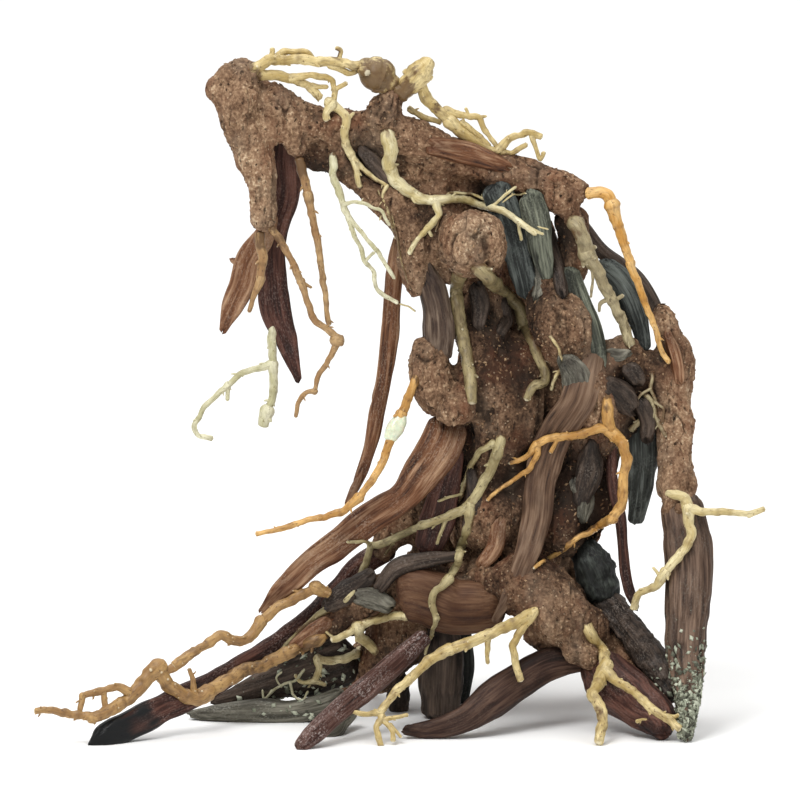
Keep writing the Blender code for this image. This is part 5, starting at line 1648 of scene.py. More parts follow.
# Roots: name, finish, branches of (first width, last width, points)
ROOT_PIECES = [
    ("root_olive_left", "root_olive", [
        (14, 12, [(461, 268), (456, 287), (457, 306), (461, 331), (467, 355), (470, 376),
                  (471, 404)])]),
    ("root_olive_right", "root_olive", [
        (15, 12, [(474, 266), (491, 281), (506, 294), (519, 306), (524, 320)]),
        (12, 8, [(524, 320), (529, 334), (537, 353), (544, 369), (544, 381), (533, 386),
                 (526, 400)])]),
    ("root_thin_core", "root_pale", [
        (4, 4, [(548, 333), (558, 348), (562, 362), (557, 375), (551, 390)])]),
    ("root_cream_large", "root_pale", [
        (15, 10, [(387, 130), (391, 152), (388, 163), (394, 180), (405, 190), (420, 199),
                  (436, 201)]),
        (9, 6, [(436, 201), (450, 199), (467, 201), (486, 206), (502, 211), (517, 221),
                (534, 234)]),
        (4, 3, [(517, 221), (521, 241)]),
        (4, 3, [(528, 229), (544, 235)]),
        (8, 5, [(436, 201), (439, 215), (427, 228), (417, 241), (409, 255)]),
        (4, 3, [(427, 228), (433, 238)]),
        (3, 3, [(442, 199), (452, 193), (471, 194), (486, 200)]),
        (3, 3, [(490, 207), (503, 197), (516, 187)])]),
    ("root_wishbone", "root_pale", [
        (9, 8, [(330, 104), (340, 111), (347, 120), (344, 134), (347, 149), (355, 163)]),
        (7, 5, [(355, 163), (358, 181), (361, 189)]),
        (8, 6, [(332, 106), (327, 114), (326, 123)]),
        (5, 3, [(346, 122), (355, 114)]),
        (6, 5, [(356, 164), (371, 176), (382, 183), (388, 187)]),
        (4, 3, [(388, 187), (383, 198), (388, 212), (396, 238)])]),
    ("root_green_fine", "root_green", [
        (8, 6, [(333, 154, -7), (334, 177, -9), (341, 198, -11), (348, 217, -12)]),
        (5, 4, [(348, 217, -12), (353, 233, -13), (360, 246, -13), (364, 261, -13),
                (374, 272, -13), (376, 286, -12), (385, 296, -11), (399, 304, -10)]),
        (5, 4, [(348, 217, -12), (361, 232, -15), (376, 250, -17), (388, 269, -17),
                (395, 279, -16)]),
        (4, 3, [(344, 205, -12), (356, 203, -15), (368, 205, -17), (381, 212, -19),
                (390, 226, -20)]),
        (3, 3, [(365, 262, -13), (374, 253, -13)])]),
    ("root_bunch_head", "root_yellow", [
        (11, 9, [(253, 72, -6), (261, 67, -7), (270, 61, -7), (284, 62, -7), (301, 60, -6),
                 (317, 63, -6), (339, 63, -5), (352, 67, -5), (368, 67, -4), (379, 74, -4)]),
        (14, 26, [(366, 68, -4), (376, 75, -4)]),
        (27, 18, [(376, 75, -4), (383, 77, -4), (388, 82, -4)]),
        (18, 17, [(379, 78, -4), (382, 94, -4)]),
        (7, 5, [(272, 61, -7), (272, 48, -7)]),
        (5, 4, [(339, 62, -5), (341, 52, -5), (336, 49, -5)]),
        (7, 5, [(275, 59, -5), (284, 53, -4), (306, 53, -4), (316, 61, -5)]),
        (7, 5, [(331, 66, -5), (350, 75, -4), (366, 68, -4)]),
        (11, 8, [(253, 74, -6), (264, 76, -6), (278, 76, -6), (296, 81, -5), (309, 87, -4),
                 (322, 100, -3)]),
        (7, 6, [(292, 79, -6), (313, 76, -6), (330, 79, -5), (334, 92, -4), (333, 103, -4)]),
        (5, 4, [(334, 90, -4), (348, 84, -5)]),
        (5, 4, [(313, 87, -4), (329, 88, -4)])]),
    ("root_crown_yellow", "root_yellow", [
        (12, 20, [(426, 66, -3), (420, 74, -3)]),
        (20, 20, [(420, 74, -3), (413, 82, -3), (404, 89, -3), (395, 98, -4)]),
        (11, 12, [(416, 78, -3), (427, 100, -2), (439, 113, -1), (450, 123, 0)]),
        (12, 8, [(450, 123, 0), (461, 133, 0), (472, 141, 0), (489, 150, 0), (497, 151, 0)]),
        (8, 6, [(497, 151, 0), (509, 139, 0), (528, 133, 0), (543, 138, 0)]),
        (5, 4, [(531, 137, 0), (541, 159, 0), (545, 151, 0)]),
        (8, 7, [(421, 70, -3), (432, 81, -4)]),
        (6, 6, [(408, 108, 4), (424, 118, 4), (442, 124, 2)]),
        (7, 5, [(446, 112, 0), (457, 115, 0), (479, 119, 0), (486, 133, 0), (495, 146, 0)]),
        (3, 3, [(470, 118, 0), (466, 108, 0)]),
        (3, 3, [(476, 119, 0), (487, 117, 0)]),
        (6, 5, [(461, 121, 0), (475, 133, 0), (488, 146, 0)]),
        (6, 5, [(497, 152, 0), (511, 154, 1), (527, 144, 0)])]),
    ("root_orange_right", "root_orange", [
        (12, 12, [(586, 194, -6), (597, 193, -8), (606, 196, -9), (611, 206, -10)]),
        (12, 8, [(611, 206, -10), (616, 222, -10), (623, 244, -10), (630, 264, -9)]),
        (8, 5, [(630, 264, -9), (637, 283, -8), (644, 303, -8), (649, 314, -8),
                (654, 328, -7), (659, 348, -6), (670, 363, -4)])]),
    ("root_knobby_right", "root_pale", [
        (16, 15, [(574, 220, -9), (581, 237, -10), (587, 255, -9)]),
        (14, 9, [(587, 255, -9), (596, 269, -7), (604, 286, -6), (613, 302, -5),
                 (620, 317, -4), (626, 331, -3), (631, 346, -3)]),
        (4, 3, [(591, 262, -8), (593, 282, -8), (591, 298, -8)]),
        (5, 3, [(610, 299, -5), (600, 305, -5), (598, 312, -5)]),
        (5, 4, [(614, 301, -5), (624, 296, -5)])]),
    ("root_under_head", "root_pale", [
        (10, 9, [(261, 232, -10), (261, 244, -11), (263, 258, -11), (261, 278, -11)]),
        (8, 4, [(261, 278, -11), (254, 296, -11), (249, 313, -11)])]),
    ("root_leg_forked", "root_pale", [
        (8, 7, [(270, 228, -10), (281, 240, -12), (291, 258, -12), (301, 282, -12)]),
        (7, 7, [(301, 282, -12), (308, 302, -12), (315, 320, -12), (329, 330, -12),
                (340, 341, -12)]),
        (10, 9, [(337, 340, -12), (345, 341, -12)]),
        (6, 5, [(337, 344, -12), (334, 351, -12), (327, 365, -12), (320, 375, -12),
                (315, 391, -12)]),
        (5, 4, [(315, 391, -12), (306, 393, -12), (298, 403, -12), (295, 418, -12)]),
        (4, 3, [(301, 282, -12), (312, 288, -11)])]),
    ("root_orange_stub", "root_orange", [
        (9, 9, [(299, 158, -7), (305, 179, -7), (308, 196, -7)]),
        (8, 5, [(308, 196, -7), (313, 222, -7), (317, 240, -7), (322, 268, -7),
                (325, 289, -7), (327, 310, -6), (329, 326, -6)])]),
    ("root_green_low", "root_green", [
        (9, 8, [(273, 322, 1), (272, 333, 0), (273, 349, -1), (273, 365, -1)]),
        (8, 8, [(273, 365, -1), (273, 380, -1), (272, 397, -1), (267, 411, -1)]),
        (11, 10, [(267, 411, -1), (263, 427, -1)]),
        (7, 6, [(272, 364, -1), (256, 369, -2), (242, 373, -3), (228, 386, -4)]),
        (6, 5, [(228, 386, -4), (215, 397, -5), (204, 408, -6), (195, 427, -6),
                (198, 435, -6), (214, 439, -6)]),
        (5, 4, [(228, 385, -4), (228, 402, -4)])]),
    ("root_orange_bead", "root_orange", [
        (9, 9, [(418, 374, -14), (414, 385, -14), (409, 397, -14), (402, 414, -15)]),
        (9, 7, [(402, 414, -15), (387, 449, -19), (380, 467, -22), (373, 480, -24),
                (359, 498, -27)]),
        (8, 5, [(359, 498, -27), (342, 512, -28), (325, 516, -28), (307, 520, -28),
                (290, 526, -28), (273, 530, -28), (255, 534, -28)])]),
    ("root_olive_long", "root_olive", [
        (11, 10, [(502, 434), (497, 452), (490, 470), (479, 491), (468, 507)]),
        (9, 7, [(468, 507), (444, 518), (426, 524), (398, 537), (381, 544), (371, 545)]),
        (4, 3, [(371, 545), (358, 541), (346, 541)]),
        (4, 3, [(396, 538), (384, 555)]),
        (7, 6, [(371, 545), (366, 561), (359, 579), (355, 590), (346, 599), (328, 609)]),
        (7, 4, [(328, 609), (309, 623), (293, 637), (280, 652)]),
        (9, 8, [(470, 506), (467, 529), (464, 538), (456, 566), (449, 579)]),
        (8, 6, [(449, 579), (434, 593), (431, 603), (436, 618)]),
        (5, 3, [(436, 618), (432, 635), (425, 655)]),
        (7, 5, [(493, 444), (479, 451), (471, 465), (465, 481), (458, 501)]),
        (3, 3, [(461, 494), (437, 501)]),
        (4, 3, [(446, 520), (437, 545)])]),
    ("root_orange_forked", "root_orange", [
        (11, 13, [(606, 398), (607, 417), (610, 431)]),
        (9, 8, [(608, 428), (597, 428), (579, 434), (562, 437), (545, 439), (536, 444)]),
        (6, 5, [(536, 444), (528, 455), (517, 461), (508, 464)]),
        (6, 4, [(537, 447), (538, 452), (529, 470), (514, 480), (500, 490), (486, 501)]),
        (5, 4, [(557, 438), (550, 453)]),
        (11, 10, [(610, 431), (616, 437), (624, 446, -20), (626, 460, -19), (623, 481, -19),
                  (621, 505, -19), (612, 518, -18)]),
        (9, 4, [(612, 518, -18), (598, 526), (588, 533), (579, 537), (561, 551), (549, 558),
                (533, 569)])]),
    ("root_olive_above", "root_olive", [
        (11, 10, [(330, 594, -17), (317, 588, -19), (300, 595, -21), (279, 606, -24),
                  (262, 621, -27)]),
        (10, 9, [(262, 621, -27), (252, 635, -29), (241, 641, -31), (230, 639, -33),
                 (221, 634, -35), (207, 644, -38), (191, 654, -41), (174, 666, -44)]),
        (12, 9, [(317, 588, -19), (325, 593, -18)])]),
    ("root_orange_large", "root_orange", [
        (12, 14, [(326, 634), (319, 639), (301, 647), (284, 655), (263, 665), (242, 671),
                  (223, 683), (208, 692)]),
        (14, 14, [(208, 692), (196, 697, -40), (186, 695, -41), (169, 683, -44),
                  (159, 668, -45)]),
        (14, 12, [(159, 666, -45), (143, 683, -48), (127, 699, -52), (110, 710, -57),
                  (94, 716, -61)]),
        (9, 7, [(94, 716, -61), (73, 713, -62), (51, 709, -63), (35, 710, -64)]),
        (8, 7, [(128, 690, -52), (118, 686, -53), (99, 690, -56), (83, 695, -58)]),
        (6, 5, [(83, 695, -58), (82, 712, -61)]),
        (6, 5, [(105, 689, -55), (107, 710, -57)]),
        (7, 4, [(197, 694, -40), (189, 667, -41)])]),
    ("root_pale_bent", "root_pale", [
        (9, 10, [(408, 616), (389, 616), (374, 620), (358, 627)]),
        (8, 6, [(358, 627), (342, 636), (330, 640)]),
        (4, 3, [(334, 638), (323, 630)]),
        (10, 9, [(358, 627), (361, 639), (372, 648), (361, 653)]),
        (9, 8, [(361, 653), (347, 658), (330, 661), (318, 660)]),
        (7, 6, [(318, 660), (319, 672), (314, 682)]),
        (5, 4, [(314, 682), (326, 686)]),
        (5, 4, [(314, 682), (301, 682), (294, 675)])]),
    ("root_yellow_low", "root_yellow", [
        (11, 11, [(534, 612, -31), (519, 620, -34), (498, 629, -37), (473, 641, -39),
                  (449, 649, -40)]),
        (10, 8, [(449, 649, -40), (428, 660, -42), (418, 670, -44), (408, 680, -46),
                 (397, 689, -48), (387, 702, -51), (380, 711, -53)]),
        (8, 7, [(534, 612, -31), (519, 632, -35), (512, 646, -37), (515, 663, -38),
                (521, 681, -39)]),
        (6, 4, [(487, 636, -38), (487, 650, -38), (488, 664, -38)]),
        (6, 5, [(381, 711, -53), (363, 713, -54), (352, 710, -54)]),
        (5, 4, [(380, 711, -53), (382, 719, -55), (396, 716, -55), (409, 713, -55)]),
        (6, 6, [(382, 716, -54), (376, 728, -58), (381, 746, -62)]),
        (5, 5, [(384, 720, -55), (392, 730, -58), (393, 741, -61)]),
        (4, 3, [(390, 724, -56), (402, 736, -58)])]),
    ("root_yellow_base", "root_yellow", [
        (12, 12, [(583, 620), (592, 638), (602, 649), (606, 667)]),
        (12, 10, [(606, 667), (599, 679, -36), (592, 693, -44), (601, 709, -51),
                  (602, 723, -56), (597, 742, -62)]),
        (9, 8, [(606, 670), (615, 680), (630, 688), (640, 698), (651, 707), (664, 716),
                (680, 729)]),
        (5, 4, [(650, 706), (648, 716), (634, 721)]),
        (5, 4, [(662, 714), (672, 716), (679, 713)])]),
    ("root_pale_leg", "root_pale", [
        (9, 12, [(664, 491), (675, 494), (684, 499), (688, 508)]),
        (9, 6, [(688, 508), (702, 511, -24), (720, 511, -25), (749, 513, -26)]),
        (6, 5, [(749, 513, -26), (765, 508, -26)]),
        (10, 9, [(688, 508), (688, 524), (691, 534), (684, 549), (672, 562, -31),
                 (664, 573, -31)]),
        (9, 7, [(664, 573, -31), (655, 586, -30), (639, 592, -27), (633, 610, -24)]),
        (4, 3, [(661, 578, -31), (652, 566, -30)])]),
    ("twigs_lichen", "root_green", [
        (6, 6, [(644, 392), (654, 404), (640, 421), (630, 431)]),
        (5, 4, [(654, 404), (657, 420), (666, 437)])]),
]

WOOD_FINISHES = {
    "wood_red_brown": WoodFinish("bog_wood_red_brown", "#1d0e0a", "#69432b", "#ab8a6c", "#b8a490", "#35190f"),
    "wood_maroon": WoodFinish("bog_wood_maroon", "#110908", "#371e17", "#6e4a3e", "#9d8880", "#1b0d0c"),
    "wood_grey_brown": WoodFinish("ribbed_wood_grey_brown", "#17100c", "#544335", "#93816d", "#a9a08e"),
    "wood_grey": WoodFinish("weathered_wood_grey", "#191814", "#4e4b41", "#8c887a", "#a8a598"),
    "wood_grey_green": WoodFinish("weathered_wood_grey_green", "#12120d", "#3e4037", "#8c8f7c", "#a3a694",
                                  "#171812"),
    "wood_blue_grey": WoodFinish("weathered_wood_blue_grey", "#0b0c0c", "#282b29", "#6f7570", "#8d938e",
                                 "#0f1110"),
    "wood_olive": WoodFinish("olive_wood", "#38231a", "#563a28", "#785a43", "#8f7f68", "#3c2217", gloss=0.2),
    "wood_dark": WoodFinish("bog_wood_dark", "#0f0b09", "#30261f", "#625348", "#857a70", "#15100d"),
    "wood_charred": WoodFinish("charred_wood", "#070706", "#1c1e1b", "#4a4f48", "#5e645e", "#0c0c0b",
                               roughness=0.6, gloss=0.3),
}

ROOT_FINISHES = {
    "root_pale": RootFinish("root_skin_pale", "#bba874", "#e6daae", "#755a30"),
    "root_green": RootFinish("root_skin_green", "#b3ae88", "#e4e0c4", "#7a7048"),
    "root_yellow": RootFinish("root_skin_yellow", "#ad955c", "#e0cd98", "#5f4524"),
    "root_orange": RootFinish("root_skin_orange", "#aa7c3e", "#dcb06c", "#673f1d"),
    "root_olive": RootFinish("root_skin_olive", "#6a5b3e", "#a3946c", "#3a2d1b"),
}

# Further finishes of single roots and wood pieces
EXTRA_FINISHES = {
    "amber": RootFinish("root_skin_amber", "#bb873c", "#e8c07e", "#6e431b"),
    "tan": RootFinish("root_skin_tan", "#94714a", "#bd9d6f", "#4f3320"),
    "cream": RootFinish("root_skin_cream", "#bfae78", "#e8e0bc", "#86703c"),
    "brown": RootFinish("root_skin_brown", "#8f6c42", "#b8945f", "#4c311c"),
    "grey": RootFinish("root_skin_grey", "#8a7d5e", "#b5a884", "#4b3d26"),
    "straw": RootFinish("root_skin_straw", "#8f8159", "#c6b98d", "#4f4128"),
    "band": WoodFinish("flowing_wood_brown", "#160d09", "#5c4433", "#8a725d", "#85786a", "#2a1812"),
    "leg": WoodFinish("ribbed_leg_brown", "#110b09", "#4a382d", "#7f6857", "#8e877b", "#1a100d"),
    "stick": WoodFinish("speckled_red_wood", "#150a08", "#442a22", "#7b6058", "#b3a6a0", "#2b120f"),
    "column": WoodFinish("column_wood_brown", "#150e0b", "#4a3a30", "#7d6c5c", "#8d8676", "#1c1210"),
    "curved": WoodFinish("curved_wood_dark", "#110906", "#33211a", "#5f483b", "#80705f", "#1c0f0a"),
    "blue_black": WoodFinish("blue_black_wood", "#0e0f0f", "#3a3c38", "#7d837d", "#969b92", "#14110f"),
}

# The finish of a piece that doesn't have the finish named like its slot
LOOK_OF = {
    "band_centre": "band", "leg_right_ribbed": "leg", "stick_red_low": "stick", "branch_column": "column",
    "slat_curved_bottom": "curved", "slat_blue_black": "blue_black", "root_orange_right": "amber",
    "root_cream_large": "cream", "root_orange_stub": "tan",
    "root_leg_forked": "tan", "root_under_head": "tan", "root_knobby_right": "grey",
    "root_olive_above": "brown", "twigs_lichen": "grey", "root_orange_large": "brown",
    "root_olive_long": "straw",
}

MORTAR = MortarFinish("wood_dust_mortar", "#140c08", "#3a271b", "#7b5f49", "#a98c6f", "#cfb798")
CHIPS = ChipFinish("mortar_chips", "#24180f", "#6b4e38", "#a98c6c")
GLUE = GlueFinish("glue_bead", "#e4e9ce")
LICHEN = ChipFinish("lichen_flakes", "#34322a", "#8b8f7c", "#c9cdb8")

# Glue bead: across, down, depth and half width
BEAD = [(402, 413, -15, 4.5), (397, 425, -16, 8.6), (392, 434, -17, 8.2), (388, 442, -18, 4.8)]

# Lichen: name, the wood it sits on, how many flakes, (across, down, reach in mm)
LICHEN_SPOTS = [
    ("lichen_leg", "leg_right_ribbed", 1500, (692, 694, 9.5)),
    ("lichen_log", "log_right_upper", 70, (664, 690, 7.0)),
    ("lichen_plank", "plank_grey", 60, (300, 704, 12.0)),
    ("crumbs_slab", "slab_low_left", 220, (312, 684, 15.0)),
]

# How each wood piece departs from plain weathered wood
WOOD_LOOKS = {
    "leg_right_ribbed": {"pattern": Pattern.RIBBED, "relief_mm": 0.6, "bloom": 0.2, "reach": (7.0, 0.0)},
    "foot_ribbed": {"pattern": Pattern.RIBBED, "relief_mm": 0.6, "bloom": 0.1, "reach": (5.0, 0.0)},
    "branch_column": {"pattern": Pattern.RIBBED, "relief_mm": 0.5, "bloom": 0.1, "reach": (5.0, 4.0)},
    "slat_charred_tip": {"char": (0.80, 0.86), "bloom": 0.6, "squareness": 3.4},
    "slat_long_left": {"bloom": 0.35, "squareness": 3.2, "warp_mm": 0.7, "bury_mm": (8.0, 0.0)},
    "slat_head_left": {"squareness": 3.4, "splinter_mm": 3.0},
    "slat_head_right": {"squareness": 3.4, "splinter_mm": 3.0},
    "log_base_olive": {"pattern": Pattern.SMOOTH, "relief_mm": 0.25, "bloom": 0.1, "warp_mm": 1.0},
    "slat_curved_bottom": {"pattern": Pattern.SMOOTH, "relief_mm": 0.25, "bloom": 0.1, "warp_mm": 0.8},
    "log_right_lower": {"bloom": 0.25, "warp_mm": 1.3, "relief_mm": 0.7, "reach": (6.0, 0.0)},
    "log_right_upper": {"pattern": Pattern.CRUST, "bloom": 0.4, "warp_mm": 1.3, "reach": (5.0, 0.0)},
    "band_centre": {"relief_mm": 0.5, "bloom": 0.1, "slim": 0.80, "warp_mm": 0.9, "bury_mm": (7.0, 2.0)},
    "lump_charred": {"pattern": Pattern.CRUST, "squareness": 2.2},
    "foot_round_dark": {"pattern": Pattern.CRUST, "squareness": 2.2},
    "plank_grey": {"bloom": 0.4, "squareness": 3.4},
    "stick_red_low": {"bloom": 0.65, "squareness": 3.0},
    "slat_grey_a": {"relief_mm": 0.6, "squareness": 3.4, "warp_mm": 0.7},
    "slat_grey_b": {"relief_mm": 0.6, "squareness": 3.4, "warp_mm": 0.7},
    "slat_grey_back": {"relief_mm": 0.6, "squareness": 3.4, "warp_mm": 0.7},
    "slat_blue_black": {"relief_mm": 0.6, "squareness": 3.4, "warp_mm": 0.7, "reach": (5.0, 0.0)},
}

# Roots that depart from a plain root, and soiled spots (across, down, reach in mm, strength)
ROOT_LOOKS = {
    "root_knobby_right": {"gnarl_mm": 0.45},
    "root_crown_yellow": {"gnarl_mm": 0.35},
    "root_bunch_head": {"gnarl_mm": 0.30},
    "root_cream_large": {"gnarl_mm": 0.28},
    "root_orange_large": {"gnarl_mm": 0.38, "spur_gap_mm": 6.0},
    "root_yellow_base": {"gnarl_mm": 0.32, "spur_gap_mm": 8.0},
    "root_olive_above": {"gnarl_mm": 0.30, "spur_gap_mm": 8.0},
    "root_green_low": {"spur_gap_mm": 7.0},
    "root_wishbone": {"spur_gap_mm": 7.0},
    "root_olive_long": {"spur_gap_mm": 9.0},
    "root_leg_forked": {"spur_gap_mm": 9.0},
    "twigs_lichen": {"gnarl_mm": 0.4, "spur_gap_mm": 3.0},
}
ROOT_STAINS = [
    (376, 76, 8.0, 1.25), (402, 90, 7.0, 0.85), (414, 70, 3.0, 0.6), (437, 108, 2.5, 0.7),
    (398, 98, 4.0, 0.9), (337, 52, 2.5, 0.8), (586, 196, 3.0, 0.3), (576, 228, 4.0, 0.6),
    (299, 162, 6.0, 1.1), (262, 236, 5.0, 0.7), (276, 236, 5.0, 0.7), (597, 690, 4.0, 0.6),
    (250, 662, 6.0, 0.6), (310, 640, 7.0, 0.7), (450, 590, 3.0, 0.6), (388, 132, 2.5, 0.5),
    (606, 400, 3.0, 0.4),
]

# Wood fragments in the hollows: name, finish, slot, limbs of (across, down, depth, half width)
FRAGMENTS = [
    ("fragments_dark", "wood_dark", "wood_dark", [
        [(476, 286, None, 6), (480, 304, None, 8), (478, 326, None, 5)],
        [(500, 300, None, 5), (506, 318, None, 7), (500, 334, None, 5)],
        [(626, 366, None, 7), (634, 374, None, 9), (640, 384, None, 6)],
        [(604, 380, None, 8), (622, 396, None, 13), (636, 412, None, 8)],
        [(446, 440, None, 5), (452, 470, None, 9), (450, 500, None, 6)],
        [(470, 470, None, 5), (474, 500, None, 8), (466, 530, None, 5)],
        [(592, 440, None, 6), (590, 470, None, 12), (580, 506, None, 7)],
        [(640, 400, None, 6), (648, 420, None, 8), (646, 440, None, 5)],
        [(362, 150, None, 6), (378, 168, None, 8), (392, 184, None, 5)],
        [(548, 230, None, 6), (556, 262, None, 9), (562, 296, None, 6)],
        [(372, 575, None, 6), (350, 590, None, 10), (326, 606, None, 6)],
    ]),
    ("fragments_grey", "wood_grey", "wood_grey", [
        [(562, 356, None, 8), (576, 380, None, 14), (568, 406, None, 7)],
        [(606, 352, None, 6), (618, 356, None, 8), (630, 352, None, 5)],
        [(574, 480, None, 5), (586, 500, None, 9), (582, 520, None, 5)],
        [(534, 262, None, 4), (540, 280, None, 7), (536, 300, None, 4)],
        [(352, 596, None, 7), (372, 598, None, 10), (388, 606, None, 6)],
    ]),
    ("fragments_red", "wood_red_brown", "wood_red_brown", [
        [(428, 146, None, 6), (466, 154, None, 10), (508, 168, None, 6)],
        [(500, 520, None, 6), (494, 548, None, 8), (480, 566, None, 5)],
        [(666, 330, None, 5), (676, 356, None, 7), (680, 384, None, 5)],
        [(330, 620, None, 6), (310, 634, None, 8), (290, 648, None, 5)],
    ]),
]

# Small roots without a solid of their own: name, look, slot, branches
FINE_ROOTS = [
    ("rootlets_curled", "root_green", "root_green", [
        (3, 3, [(306, 668, None), (296, 680, None), (284, 684, None), (272, 692, None)]),
        (3, 2, [(272, 692, None), (264, 700, None), (262, 690, None)]),
        (3, 2, [(290, 682, None), (292, 694, None), (302, 700, None), (308, 692, None)]),
        (2, 2, [(281, 687, None), (276, 678, None), (282, 672, None)]),
    ]),
    ("rootlet_joining", "brown", "root_olive", [
        (10, 9, [(188, 656, -41), (174, 666, -43), (162, 672, -44)]),
    ]),
    ("rootlets_hair", "root_pale", "root_pale", [
        (2, 1.5, [(392, 214, None), (396, 236, None), (402, 262, None), (410, 290, None)]),
        (2, 1.5, [(378, 190, None), (384, 206, None), (380, 222, None)]),
        (2, 1.5, [(399, 304, 2), (408, 306, 1), (416, 311, 0)]),
        (2, 1.5, [(436, 202, None), (440, 218, None), (436, 232, None)]),
        (2, 1.5, [(500, 205, None), (512, 196, None), (526, 194, None)]),
        (2, 1.5, [(522, 226, None), (536, 226, None), (548, 230, None)]),
    ]),
    ("twigs_shoulder", "grey", "root_green", [
        (4, 3, [(652, 372, None), (650, 388, None), (656, 402, None), (652, 416, None)]),
        (3, 2, [(650, 388, None), (640, 394, None), (634, 404, None), (622, 408, None)]),
        (3, 2, [(656, 402, None), (664, 410, None), (662, 424, None)]),
        (3, 2, [(634, 404, None), (632, 416, None), (638, 424, None)]),
    ]),
]

# Shades of the mortar: across, down, depth, reach in mm, lighter by, darkness, redness, dent in mm. The
# darkness is painted shade in the dented hollows, under the beam and in the core, where a lighter by below
# zero darkens the tone with it; on the base fan it is partly a darker tone.
TRUNK_SHADES = [
    (236, 90, -8, 16, 0.05, 0.0, 0.0, 0.0),
    (255, 170, -10, 20, 0.22, 0.0, 0.1, 0.0),
    (262, 225, -10, 10, 0.25, 0.0, 0.2, 0.0),
    (472, 230, -24, 12, 0.22, 0.0, 0.0, 0.0),
    (545, 185, -4, 26, 0.0, 0.0, 0.5, 0.0),
    (470, 160, -4, 20, 0.05, 0.0, 0.5, 0.0),
    (676, 400, -4, 30, 0.25, 0.0, 0.1, 0.0),
    (318, 172, 0, 10, -0.4, 0.8, 0.0, 1.0),
    (366, 160, -6, 7, -0.4, 0.85, 0.0, 4.0),
    (380, 176, -6, 6, -0.4, 0.7, 0.0, 3.0),
    (490, 190, 6, 8, -0.5, 0.95, 0.0, 3.0),
    (484, 316, -6, 9, -0.5, 0.9, 0.0, 6.0),
    (506, 345, -6, 7, -0.5, 0.8, 0.0, 4.0),
    (486, 372, -8, 6, -0.5, 0.6, 0.0, 3.0),
    (540, 300, -4, 7, -0.5, 0.8, 0.0, 3.0),
    (520, 380, -8, 7, -0.5, 0.7, 0.0, 3.0),
    (474, 432, -8, 6, -0.5, 0.8, 0.0, 4.0),
    (450, 470, 0, 14, -0.5, 0.9, 0.0, 5.0),
    (508, 486, -8, 10, -0.5, 0.6, 0.0, 4.0),
    (590, 474, -4, 14, -0.5, 0.85, 0.0, 6.0),
    (594, 530, -4, 12, -0.5, 0.8, 0.0, 5.0),
    (624, 384, -6, 8, -0.5, 0.8, 0.0, 4.0),
    (646, 400, -4, 8, -0.4, 0.7, 0.0, 3.0),
    (636, 430, -2, 8, -0.5, 0.8, 0.0, 3.0),
    (560, 640, -22, 14, 0.05, 0.15, 0.0, 0.0),
    (430, 590, -16, 12, -0.2, 0.40, 0.3, 0.0),
    (500, 600, -16, 12, -0.2, 0.40, 0.4, 0.0),
    (550, 580, -16, 12, -0.1, 0.35, 0.1, 0.0),
    (592, 618, -20, 10, -0.1, 0.30, 0.2, 0.0),
    (505, 350, -6, 18, -0.2, 0.35, 0.1, 0.0),
    (516, 430, -6, 18, -0.2, 0.32, 0.1, 0.0),
    (545, 520, -6, 20, -0.2, 0.38, 0.1, 0.0),
    (600, 480, -4, 18, -0.2, 0.35, 0.2, 0.0),
    (640, 380, -2, 12, -0.2, 0.35, 0.2, 0.0),
    (560, 235, 0, 9, -0.5, 0.9, 0.0, 3.0),
    (430, 215, -4, 9, -0.3, 0.5, 0.1, 1.0),
    (400, 670, -6, 12, -0.4, 0.7, 0.1, 1.0),
    (690, 372, -4, 12, 0.0, 0.25, 0.6, 0.0),
    (698, 450, -4, 15, 0.0, 0.1, 0.6, 0.0),
    (664, 356, -4, 8, -0.4, 0.7, 0.2, 3.0),
    (586, 368, -6, 9, -0.4, 0.7, 0.2, 2.0),
    (560, 500, -8, 8, -0.5, 0.8, 0.0, 4.0),
    (536, 462, -8, 7, -0.5, 0.7, 0.0, 3.0),
    (528, 330, -8, 6, -0.5, 0.7, 0.0, 3.0),
    (432, 576, -12, 8, -0.4, 0.6, 0.1, 3.0),
    (540, 560, -14, 9, -0.3, 0.5, 0.3, 2.0),
    (604, 606, -12, 8, -0.5, 0.8, 0.0, 3.0),
    (530, 660, -18, 8, -0.4, 0.6, 0.2, 2.0),
    (500, 590, -12, 10, -0.2, 0.3, 0.2, 1.0),
    (346, 640, -10, 12, -0.5, 0.7, 0.2, 2.0),
]

